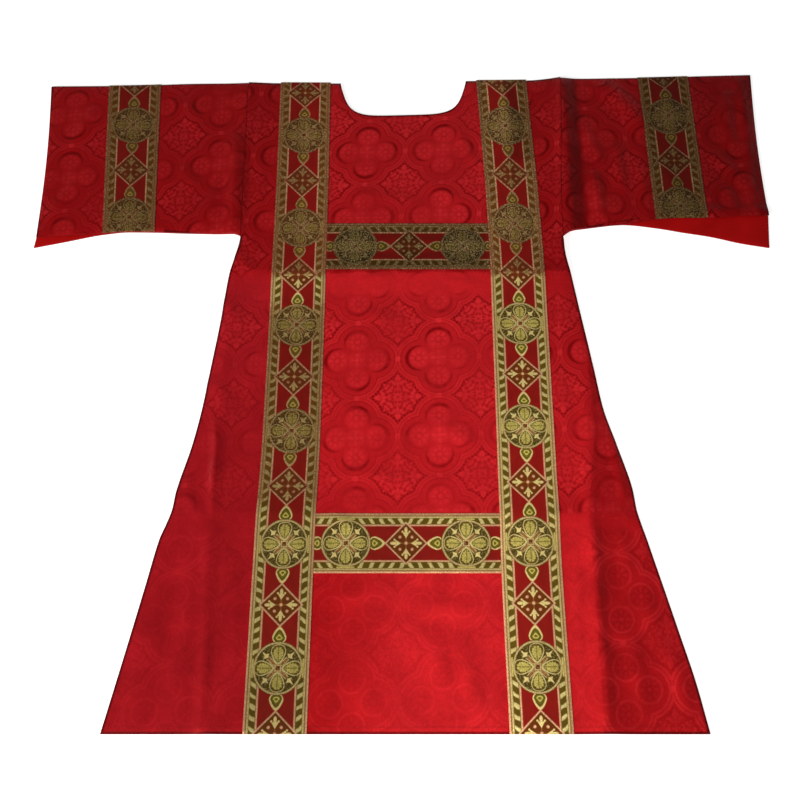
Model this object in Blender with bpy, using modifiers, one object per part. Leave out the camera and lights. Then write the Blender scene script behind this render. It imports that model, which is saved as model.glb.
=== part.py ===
"""A dalmatic laid flat on its back: two flared damask panels, two folded sleeves with their lining, and gold
galloons over the shoulders, across the front and round the sleeves. Metres, +Z up, +X across, +Y from hem to
shoulders. The origin is on the floor, under the middle of the garment's outline."""

from collections import namedtuple
from math import copysign, cos, pi, radians, sin

import bmesh
import bpy

# Driving dimensions
LENGTH = 1.267  # hem to the highest point of the shoulder line
CLOTH = 0.0015  # wall of the damask panels
LINING = 0.0010  # wall of the sleeve lining
BRAID = 0.0010  # wall of the galloons
SEAM = 0.0003  # gap between pieces that are sewn or lie together
LEAN = 0.0004  # room for a sleeve's underside, whose edge leans towards the body on the raised seam
GALLOON = 0.100  # width of every galloon

NECK_LEFT = -0.1235  # where the neck opening meets the left shoulder
NECK_RIGHT = 0.1295
NECK_DEPTH = 0.081  # shoulder line to the bottom of the neck opening
NECK_TAPER = 0.17  # share of its half width that the opening loses on the way down
NECK_SQUARENESS = 5  # superellipse exponent of its lower corners

ARMPIT = 0.886  # heights are measured from the hem
YOKE = 1.030  # above it the rows of the panels draw together towards the neck and the shoulders
LOWER_FOLD = 0.3525  # heights of the two folds pressed across the garment
UPPER_FOLD = 0.8185
FOLD_REACH = 0.090  # how far a crosswise fold lifts the cloth on each side of its crest
SIDE_FOLD_REACH = 0.055  # the same for the two lengthwise folds
FOLD_STEPS = (0.010, 0.030, 0.060, 0.100)  # rows of points beside a crosswise crest
SIDE_STEPS = (0.012, 0.035)  # columns of points beside a lengthwise crest

FOLD_TURN = (60, 30, 0, -30, -60)  # degrees round the folded top edge of a sleeve, from front to back
LINING_IN_SLEEVE = LINING + SEAM  # what the lining adds between the halves of a sleeve
SLEEVE_ROWS = 8  # rows of points on each half of a sleeve
TAIL_ROWS = 2  # rows on the part of a sleeve's back half that reaches below the front half
BAND_LOW = 0.0006  # height of a galloon's turned end above the floor
WELD = 0.00002

# The outline of the body, one row for each section, and the lines of the sleeve seams and lengthwise folds
Section = namedtuple("Section", "height left left_fold right_fold right")
BODY = (
    Section(0.000, -0.4700, -0.3035, 0.3185, 0.4795),
    Section(0.077, -0.4535, -0.3070, 0.3190, 0.4655),
    Section(0.152, -0.4375, -0.3100, 0.3195, 0.4475),
    Section(0.229, -0.4215, -0.3125, 0.3175, 0.4285),
    Section(0.309, -0.4045, -0.3145, 0.3170, 0.4080),
    Section(0.338, -0.3935, -0.3155, 0.3190, 0.3995),
    Section(0.358, -0.3870, -0.3160, 0.3205, 0.3945),
    Section(0.394, -0.3825, -0.3165, 0.3250, 0.3915),
    Section(0.480, -0.3615, -0.3175, 0.3320, 0.3695),
    Section(0.546, -0.3495, -0.3175, 0.3360, 0.3515),
    Section(0.616, -0.3405, -0.3165, 0.3330, 0.3415),
    Section(0.711, -0.3285, -0.3130, 0.3225, 0.3275),
    Section(0.809, -0.3185, -0.3080, 0.3095, 0.3125),
    Section(0.860, -0.3065, -0.3040, 0.3015, 0.3030),
    Section(ARMPIT, -0.3025, -0.3025, 0.3015, 0.3015),
    Section(1.260, -0.3065, -0.3065, 0.3185, 0.3185),
)

# The line of the shoulders and of the folded tops of the sleeves
Shoulder = namedtuple("Shoulder", "across height")
SHOULDERS = (
    Shoulder(-0.710, 1.2385),
    Shoulder(-0.548, 1.2400),
    Shoulder(-0.405, 1.2450),
    Shoulder(-0.297, 1.2470),
    Shoulder(NECK_LEFT, 1.2460),
    Shoulder(NECK_RIGHT, 1.2520),
    Shoulder(0.245, 1.2540),
    Shoulder(0.319, 1.2600),
    Shoulder(0.500, 1.2610),
    Shoulder(0.610, 1.2650),
    Shoulder(0.710, LENGTH),
)

# The middles of the two vertical galloons
Galloons = namedtuple("Galloons", "height left right")
GALLOONS = (
    Galloons(0.000, -0.1985, 0.2170),
    Galloons(0.290, -0.1960, 0.2135),
    Galloons(0.500, -0.1915, 0.2140),
    Galloons(0.760, -0.1905, 0.2140),
    Galloons(0.990, -0.1905, 0.2105),
    Galloons(1.088, -0.1910, 0.2060),
    Galloons(1.260, -0.1925, 0.1995),
)

# How high each fold lifts the cloth, along its crest: across the garment, then along it
Crest = namedtuple("Crest", "across lower upper")
CRESTS = (
    Crest(-0.470, 0.0040, 0.0025),
    Crest(-0.290, 0.0060, 0.0035),
    Crest(0.000, 0.0055, 0.0045),
    Crest(0.230, 0.0065, 0.0040),
    Crest(0.480, 0.0045, 0.0025),
)
SideCrest = namedtuple("SideCrest", "height left right")
SIDE_CRESTS = (
    SideCrest(0.000, 0.0040, 0.0060),
    SideCrest(0.350, 0.0050, 0.0070),
    SideCrest(0.620, 0.0045, 0.0030),
    SideCrest(0.780, 0.0040, 0.0010),
    SideCrest(ARMPIT, 0.0045, 0.0080),
    SideCrest(1.000, 0.0040, 0.0090),
    SideCrest(1.260, 0.0030, 0.0085),
)

# The sleeves from their left end to their right end, one row for each station: the place of its top, of the
# lower edges of the front and back halves, and how far the cloth between them bows inwards
Station = namedtuple("Station", "name top_x low_x front_low back_x back_low bow")
LEFT_SLEEVE = (
    Station("cuff", -0.7015, -0.6865, 0.8900, -0.6885, 0.8680, 0.0050),
    Station("wrist", -0.6450, -0.6300, 0.8940, -0.6310, 0.8810, 0.0020),
    Station("band outer edge", -0.5855, -0.5625, 0.8980, -0.5625, 0.8965, 0.0),
    Station("band middle", -0.5335, -0.5135, 0.9020, -0.5135, 0.9020, 0.0),
    Station("band inner edge", -0.4815, -0.4645, 0.9015, -0.4645, 0.9015, 0.0),
    Station("arm", -0.4200, -0.4120, 0.8995, -0.4120, 0.8995, 0.0),
    Station("fold foot", -0.3620, -0.3560, 0.8980, -0.3560, 0.8980, 0.0),
    Station("fold flank", -0.3400, -0.3350, 0.8975, -0.3350, 0.8975, 0.0),
    Station("fold shoulder", -0.3190, -0.3150, 0.8965, -0.3150, 0.8965, 0.0),
    Station("seam", -0.3065, -0.3025, 0.8910, -0.3025, 0.8910, 0.0),
)
RIGHT_SLEEVE = (
    Station("seam", 0.3185, 0.3025, 0.8890, 0.3025, 0.8890, 0.0),
    Station("fold shoulder", 0.3310, 0.3165, 0.9010, 0.3165, 0.9010, 0.0),
    Station("fold flank", 0.3520, 0.3375, 0.9075, 0.3375, 0.9075, 0.0),
    Station("fold foot", 0.3760, 0.3620, 0.9120, 0.3620, 0.9120, 0.0),
    Station("arm", 0.4230, 0.4180, 0.9180, 0.4180, 0.9180, 0.0),
    Station("band inner edge", 0.4735, 0.4795, 0.9290, 0.4795, 0.9110, 0.0),
    Station("band middle", 0.5240, 0.5290, 0.9310, 0.5290, 0.9015, 0.0),
    Station("band outer edge", 0.5745, 0.5785, 0.9310, 0.5785, 0.8925, 0.0),
    Station("wrist", 0.6400, 0.6400, 0.9345, 0.6370, 0.8775, -0.0020),
    Station("cuff", 0.7015, 0.6945, 0.9360, 0.6875, 0.8680, -0.0045),
)

NECK_POINTS = 11
COLOURS = {  # base colour, roughness, metallic
    "damask": ((0.38, 0.008, 0.012, 1), 0.45, 0.0),
    "lining": ((0.55, 0.015, 0.020, 1), 0.60, 0.0),
    "galloon": ((0.40, 0.28, 0.09, 1), 0.40, 0.4),
}


def between(table, at, column):
    """The value of a column of a table at this value of its first column, by straight lines between its rows."""
    if at <= table[0][0]:
        return getattr(table[0], column)
    for low, high in zip(table, table[1:]):
        if at <= high[0]:
            share = (at - low[0]) / (high[0] - low[0])
            return blend(getattr(low, column), getattr(high, column), share)
    return getattr(table[-1], column)


def blend(start, end, share):
    return start + (end - start) * share


# The form of the laid cloth


def bump(distance, reach):
    """A pressed fold's section: 1 on its crest, falling to a soft foot at its reach."""
    share = min(abs(distance) / reach, 1)
    return (1 - share) ** 2 * (1 + 0.5 * share)


def lift(x, height):
    """How far the folds raise the cloth off the floor here."""
    folds = (
        between(CRESTS, x, "lower") * bump(height - LOWER_FOLD, FOLD_REACH),
        between(CRESTS, x, "upper") * bump(height - UPPER_FOLD, FOLD_REACH),
        between(SIDE_CRESTS, height, "left") * bump(x - between(BODY, height, "left_fold"), SIDE_FOLD_REACH),
        between(SIDE_CRESTS, height, "right") * bump(x - between(BODY, height, "right_fold"), SIDE_FOLD_REACH),
    )
    return sum(fold**3 for fold in folds) ** (1 / 3)


def over_lining(x, height):
    """How far the front panel climbs to meet the front halves of the lined sleeves at its seams."""
    from_seam = min(x - between(BODY, height, "left_fold"), between(BODY, height, "right_fold") - x)
    beside = 1 - min(max(from_seam / SIDE_FOLD_REACH, 0), 1)
    above = min(max((height - UPPER_FOLD) / (ARMPIT - UPPER_FOLD), 0), 1)
    return LINING_IN_SLEEVE * beside * above


def laid(x, height, level):
    """The point at this height from the hem, on a layer whose level is given where the cloth lies flat."""
    return (x, height - LENGTH / 2, level + lift(x, height))


# The two panels of the body, and what is sewn on the front one


def neck_point(share):
    """A point of the neck opening's edge, for a share of the way round it from left to right."""
    turn = pi * share
    depth = sin(turn) ** (2 / NECK_SQUARENESS)
    side = abs(cos(turn)) ** (2 / NECK_SQUARENESS) * (1 if share > 0.5 else -1)
    half = (NECK_RIGHT - NECK_LEFT) / 2 * (1 - NECK_TAPER * depth)
    x = (NECK_LEFT + NECK_RIGHT) / 2 + half * side
    return x, between(SHOULDERS, x, "height") - NECK_DEPTH * depth


def columns_at(height):
    """Where the columns of a panel cross this height, from its left edge to its right edge."""
    left, left_fold, right_fold, right = (between(BODY, height, name) for name in Section._fields[1:])
    left_band = between(GALLOONS, height, "left")
    right_band = between(GALLOONS, height, "right")
    bands = [left_band - GALLOON / 2, left_band, left_band + GALLOON / 2]
    bands += [right_band - GALLOON / 2, right_band, right_band + GALLOON / 2]
    neck = [blend(bands[2], bands[3], (k + 1) / (NECK_POINTS + 1)) for k in range(NECK_POINTS)]
    return (
        [blend(left, left_fold, share) for share in (0, 1 / 3, 2 / 3, 1)]
        + [left_fold + step for step in SIDE_STEPS]
        + bands[:3]
        + neck
        + bands[3:]
        + [right_fold - step for step in reversed(SIDE_STEPS)]
        + [blend(right_fold, right, share) for share in (0, 1 / 3, 2 / 3, 1)]
    )


COLUMNS = len(columns_at(0))
LEFT_BAND = (6, 8)  # first and last column of each vertical galloon
RIGHT_BAND = (COLUMNS - 9, COLUMNS - 7)
NECK_START = LEFT_BAND[1] + 1


def row_heights():
    """The rows of points of the panels up to the yoke, closer together over the folds."""
    rows = {0, 0.05, 0.10, 0.15, 0.20, 0.52, 0.585, 0.65, ARMPIT, 0.97, YOKE}
    for fold in (LOWER_FOLD, UPPER_FOLD):
        rows |= {fold} | {fold + way * step for step in FOLD_STEPS for way in (-1, 1)}
    return sorted(rows)


LOW_ROWS = row_heights()
YOKE_ROWS = 6
ROWS = len(LOW_ROWS) + YOKE_ROWS


def body_plan(i, j):
    """Where column i of a panel crosses its row j: across, and up from the hem."""
    if j < len(LOW_ROWS):
        return columns_at(LOW_ROWS[j])[i], LOW_ROWS[j]
    top_x = columns_at(LENGTH)[i]
    top = between(SHOULDERS, top_x, "height")
    if NECK_START <= i < NECK_START + NECK_POINTS:
        top_x, top = neck_point((i - NECK_START) / (NECK_POINTS - 1))
    share = (j - len(LOW_ROWS) + 1) / YOKE_ROWS
    return blend(columns_at(YOKE)[i], top_x, share), blend(YOKE, top, share)


def front_level(x, height):
    return CLOTH + SEAM + over_lining(x, height)


def braid_level(x, height):
    return front_level(x, height) + CLOTH + SEAM


def sheet(name, columns, rows, place, wall, finish):
    """A sheet of cloth whose points are put where place(i, j) says, with a wall of this thickness above it."""
    cloth = bmesh.new()
    bmesh.ops.create_grid(cloth, x_segments=columns - 1, y_segments=rows - 1, size=1)
    for vert in cloth.verts:
        i = round((vert.co.x + 1) / 2 * (columns - 1))
        j = round((vert.co.y + 1) / 2 * (rows - 1))
        vert.co = place(i, j)
    bmesh.ops.triangulate(cloth, faces=cloth.faces, quad_method="FIXED")
    bmesh.ops.remove_doubles(cloth, verts=cloth.verts, dist=WELD)
    mesh = bpy.data.meshes.new(name)
    cloth.to_mesh(mesh)
    cloth.free()
    mesh.materials.append(finish)
    mesh.shade_smooth()
    mesh.set_sharp_from_angle(angle=radians(40))
    piece = bpy.data.objects.new(name, mesh)
    thickness = piece.modifiers.new("Wall", "SOLIDIFY")
    thickness.thickness = wall
    thickness.offset = 1
    thickness.use_even_offset = True
    return piece


def panel(name, level, finish):
    def place(i, j):
        x, height = body_plan(i, j)
        return laid(x, height, level(x, height))

    return sheet(name, COLUMNS, ROWS, place, CLOTH, finish)


def vertical_galloon(name, band, finish):
    """A galloon from the hem to the shoulder, whose end turns down over the shoulder edge."""
    drop = 3

    def place(i, j):
        x, height = body_plan(band[0] + i, min(j, ROWS - 1))
        level = braid_level(x, height)
        if j >= ROWS:
            height += SEAM
            level = (level - SEAM, (level + BAND_LOW) / 2, BAND_LOW)[j - ROWS]
        return laid(x, height, level)

    return sheet(name, band[1] - band[0] + 1, ROWS + drop, place, BRAID, finish)


def crossbar(name, low, high, finish):
    """A galloon between the two vertical ones, from one row of the front panel to another."""
    first, last = LOW_ROWS.index(low), LOW_ROWS.index(high)
    left, right = LEFT_BAND[1], RIGHT_BAND[0]

    def place(i, j):
        x, height = body_plan(left + i, first + j)
        x += {left: SEAM, right: -SEAM}.get(left + i, 0)
        return laid(x, height, braid_level(x, height))

    return sheet(name, right - left + 1, last - first + 1, place, BRAID, finish)


# The sleeves: a wall folded along its top, described by its inner face from the front half's lower edge, over the
# fold, to the back half's lower edge

SLEEVE_FRONT = CLOTH + SEAM + LINING_IN_SLEEVE  # level of the inner face of the front half
TURN_RADIUS = (SLEEVE_FRONT - CLOTH) / 2
TURN_LEVEL = (SLEEVE_FRONT + CLOTH) / 2
TURN_START = SLEEVE_ROWS
BACK_START = TURN_START + len(FOLD_TURN)
TAIL_START = BACK_START + SLEEVE_ROWS
SLEEVE_POINTS = TAIL_START + TAIL_ROWS


def on_seam(station, x, height, gap=SEAM):
    """The x of a sleeve's end beside the body, just clear of the panels' seam line."""
    if station.name != "seam":
        return x
    line = "left_fold" if x < 0 else "right_fold"
    return between(BODY, height, line) + copysign(gap, x)


def sleeve_point(station, k, out):
    """Point k round the section at this station, moved out from the wall's inner face."""
    turn_height = between(SHOULDERS, station.top_x, "height") - CLOTH - TURN_RADIUS
    top_x = on_seam(station, station.top_x, turn_height)
    if TURN_START <= k < BACK_START:
        angle = radians(FOLD_TURN[k - TURN_START])
        radius = TURN_RADIUS + out
        return laid(top_x, turn_height + radius * cos(angle), TURN_LEVEL + radius * sin(angle))
    if k >= TAIL_START:
        share = (k - TAIL_START + 1) / TAIL_ROWS
        height = blend(station.front_low, station.back_low, share)
        x = on_seam(station, blend(station.low_x, station.back_x, share), height, SEAM + LEAN)
        return laid(x, height, CLOTH - out)
    front = k < TURN_START
    share = (k if front else TAIL_START - 1 - k) / (SLEEVE_ROWS - 1)
    height = blend(station.front_low, turn_height, share)
    x = on_seam(station, blend(station.low_x, top_x, share), height, SEAM if front else SEAM + LEAN)
    x += station.bow * sin(pi * share)
    return laid(x, height, SLEEVE_FRONT + out if front else CLOTH - out)


def sleeve(name, stations, finish):
    def place(i, j):
        return sleeve_point(stations[i], j, 0)

    return sheet(name, len(stations), SLEEVE_POINTS, place, CLOTH, finish)


def sleeve_lining(name, stations, finish):
    """The lining on the inner face of the sleeve's back half."""

    def place(i, j):
        return sleeve_point(stations[i], BACK_START + j, -LINING_IN_SLEEVE)

    return sheet(name, len(stations), SLEEVE_POINTS - BACK_START, place, LINING, finish)


def sleeve_galloon(name, stations, finish):
    """The galloon round a sleeve, from the front half's lower edge over the fold."""
    band = [station for station in stations if station.name.startswith("band")]

    def place(i, j):
        return sleeve_point(band[i], j, CLOTH + SEAM)

    return sheet(name, len(band), TURN_START + FOLD_TURN.index(-30) + 1, place, BRAID, finish)


def material(name):
    colour, roughness, metallic = COLOURS[name]
    finish = bpy.data.materials.new(name)
    finish.use_nodes = True
    surface = finish.node_tree.nodes["Principled BSDF"]
    surface.inputs["Base Color"].default_value = colour
    surface.inputs["Roughness"].default_value = roughness
    surface.inputs["Metallic"].default_value = metallic
    finish.diffuse_color = colour
    return finish


def main():
    for old in list(bpy.data.objects):
        bpy.data.objects.remove(old, do_unlink=True)
    garment = bpy.data.collections.new("dalmatic")
    bpy.context.scene.collection.children.link(garment)
    damask, lining, gold = material("damask"), material("lining"), material("galloon")
    pieces = (
        panel("back_panel", lambda x, height: 0, damask),
        panel("front_panel", front_level, damask),
        sleeve("sleeve_left", LEFT_SLEEVE, damask),
        sleeve("sleeve_right", RIGHT_SLEEVE, damask),
        sleeve_lining("lining_sleeve_left", LEFT_SLEEVE, lining),
        sleeve_lining("lining_sleeve_right", RIGHT_SLEEVE, lining),
        vertical_galloon("galloon_left", LEFT_BAND, gold),
        vertical_galloon("galloon_right", RIGHT_BAND, gold),
        crossbar("crossbar_upper", UPPER_FOLD, UPPER_FOLD + GALLOON, gold),
        crossbar("crossbar_lower", LOWER_FOLD - GALLOON, LOWER_FOLD, gold),
        sleeve_galloon("band_sleeve_left", LEFT_SLEEVE, gold),
        sleeve_galloon("band_sleeve_right", RIGHT_SLEEVE, gold),
    )
    for piece in pieces:
        garment.objects.link(piece)


main()
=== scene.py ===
from bisect import bisect_right
from functools import lru_cache
from math import copysign, cos, hypot, pi, radians, sin

import bmesh
import bpy
from mathutils import Matrix, Vector


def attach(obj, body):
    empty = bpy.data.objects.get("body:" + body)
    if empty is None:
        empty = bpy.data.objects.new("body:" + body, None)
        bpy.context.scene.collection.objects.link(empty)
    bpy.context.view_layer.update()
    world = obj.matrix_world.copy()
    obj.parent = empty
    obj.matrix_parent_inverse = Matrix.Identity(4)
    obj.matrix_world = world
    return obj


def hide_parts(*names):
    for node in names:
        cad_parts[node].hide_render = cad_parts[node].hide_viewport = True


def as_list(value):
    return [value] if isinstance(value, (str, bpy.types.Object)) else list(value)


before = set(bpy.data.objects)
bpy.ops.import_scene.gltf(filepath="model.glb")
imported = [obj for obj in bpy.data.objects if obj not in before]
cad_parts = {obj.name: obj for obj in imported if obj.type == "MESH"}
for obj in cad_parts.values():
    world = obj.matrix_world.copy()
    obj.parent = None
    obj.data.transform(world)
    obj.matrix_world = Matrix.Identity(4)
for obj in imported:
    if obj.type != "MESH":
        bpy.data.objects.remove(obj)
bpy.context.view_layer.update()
print("frame loaded with", len(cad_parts), "nodes")

# the cut and lie of the body, in metres; heights are measured from the hem
body = {
    "length": 1.267,  # hem to the highest point of the shoulder line
    "wall": 0.0015,
    "gap": 0.0003,  # between pieces that are sewn or lie together
    "armpit": 0.886,
    "yoke": 1.030,  # above it the rows draw together towards the neck and the shoulders
    "lowerFold": 0.3525,  # the two folds pressed across the garment
    "upperFold": 0.8185,
    "foldReach": 0.090,
    "sideReach": 0.055,
    "cell": 0.0065,  # size of a cell of the mesh
    "outline": (
        ("height", "left", "leftFold", "rightFold", "right"),
        (0.000, -0.4700, -0.3035, 0.3185, 0.4795),
        (0.077, -0.4535, -0.3070, 0.3190, 0.4655),
        (0.152, -0.4375, -0.3100, 0.3195, 0.4475),
        (0.229, -0.4215, -0.3125, 0.3175, 0.4285),
        (0.309, -0.4045, -0.3145, 0.3170, 0.4080),
        (0.338, -0.3935, -0.3155, 0.3190, 0.3995),
        (0.358, -0.3870, -0.3160, 0.3205, 0.3945),
        (0.394, -0.3825, -0.3165, 0.3250, 0.3915),
        (0.480, -0.3615, -0.3175, 0.3320, 0.3695),
        (0.546, -0.3495, -0.3175, 0.3360, 0.3515),
        (0.616, -0.3405, -0.3165, 0.3330, 0.3415),
        (0.711, -0.3285, -0.3130, 0.3225, 0.3275),
        (0.809, -0.3185, -0.3080, 0.3095, 0.3125),
        (0.860, -0.3065, -0.3040, 0.3015, 0.3030),
        (0.886, -0.3025, -0.3025, 0.3015, 0.3015),
        (1.260, -0.3065, -0.3065, 0.3185, 0.3185),
    ),
    "shoulders": (
        ("across", "height"),
        (-0.710, 1.2385),
        (-0.548, 1.2400),
        (-0.405, 1.2450),
        (-0.297, 1.2458),
        (-0.1235, 1.2450),
        (0.1295, 1.2508),
        (0.245, 1.2522),
        (0.319, 1.2562),
        (0.500, 1.2600),
        (0.610, 1.2640),
        (0.710, 1.2670),
    ),
    "crests": (  # how high the crosswise folds lift the cloth
        ("across", "lower", "upper"),
        (-0.470, 0.0040, 0.0025),
        (-0.290, 0.0060, 0.0035),
        (0.000, 0.0055, 0.0045),
        (0.230, 0.0065, 0.0040),
        (0.480, 0.0045, 0.0025),
    ),
    "sideCrests": (
        ("height", "left", "right"),
        (0.000, 0.0040, 0.0060),
        (0.350, 0.0050, 0.0070),
        (0.620, 0.0045, 0.0030),
        (0.780, 0.0040, 0.0010),
        (0.886, 0.0045, 0.0080),
        (1.000, 0.0040, 0.0090),
        (1.180, 0.0032, 0.0080),
        (1.235, 0.0020, 0.0055),
        (1.260, 0.0008, 0.0030),
    ),
}

neck = {
    "left": -0.1235,  # where the opening meets the shoulders
    "right": 0.1295,
    "depth": 0.080,
    "taper": 0.17,  # share of its half width that it loses on the way down
    "squareness": 5,  # of its lower corners
    "points": 600,
}


def track(table, column):
    # a smooth line through one column of a table, read at a value of its first column
    at = [row[0] for row in table[1:]]
    value = [row[table[0].index(column)] for row in table[1:]]
    steps = [(value[k + 1] - value[k]) / (at[k + 1] - at[k]) for k in range(len(at) - 1)]
    inner = [2 * a * b / (a + b) if a * b > 0 else 0 for a, b in zip(steps, steps[1:])]
    slopes = [steps[0]] + inner + [steps[-1]]

    def read(here):
        k = min(max(bisect_right(at, here) - 1, 0), len(at) - 2)
        span = at[k + 1] - at[k]
        t = min(max((here - at[k]) / span, 0), 1)
        bend = t * t * (3 - 2 * t)
        start, end = slopes[k] * span, slopes[k + 1] * span
        return (value[k] + (value[k + 1] - value[k]) * bend
                + t * (1 - t) * ((1 - t) * start - t * end))

    return read


def blend(start, end, share):
    return start + (end - start) * share


def smooth(value, start, end):
    t = min(max((value - start) / (end - start), 0), 1)
    return t * t * (3 - 2 * t)


leftEdge, leftFold, rightFold, rightEdge = (
    track(body["outline"], name) for name in ("left", "leftFold", "rightFold", "right")
)
shoulder = track(body["shoulders"], "height")
lowerCrest, upperCrest = track(body["crests"], "lower"), track(body["crests"], "upper")
leftCrest, rightCrest = track(body["sideCrests"], "left"), track(body["sideCrests"], "right")

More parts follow.
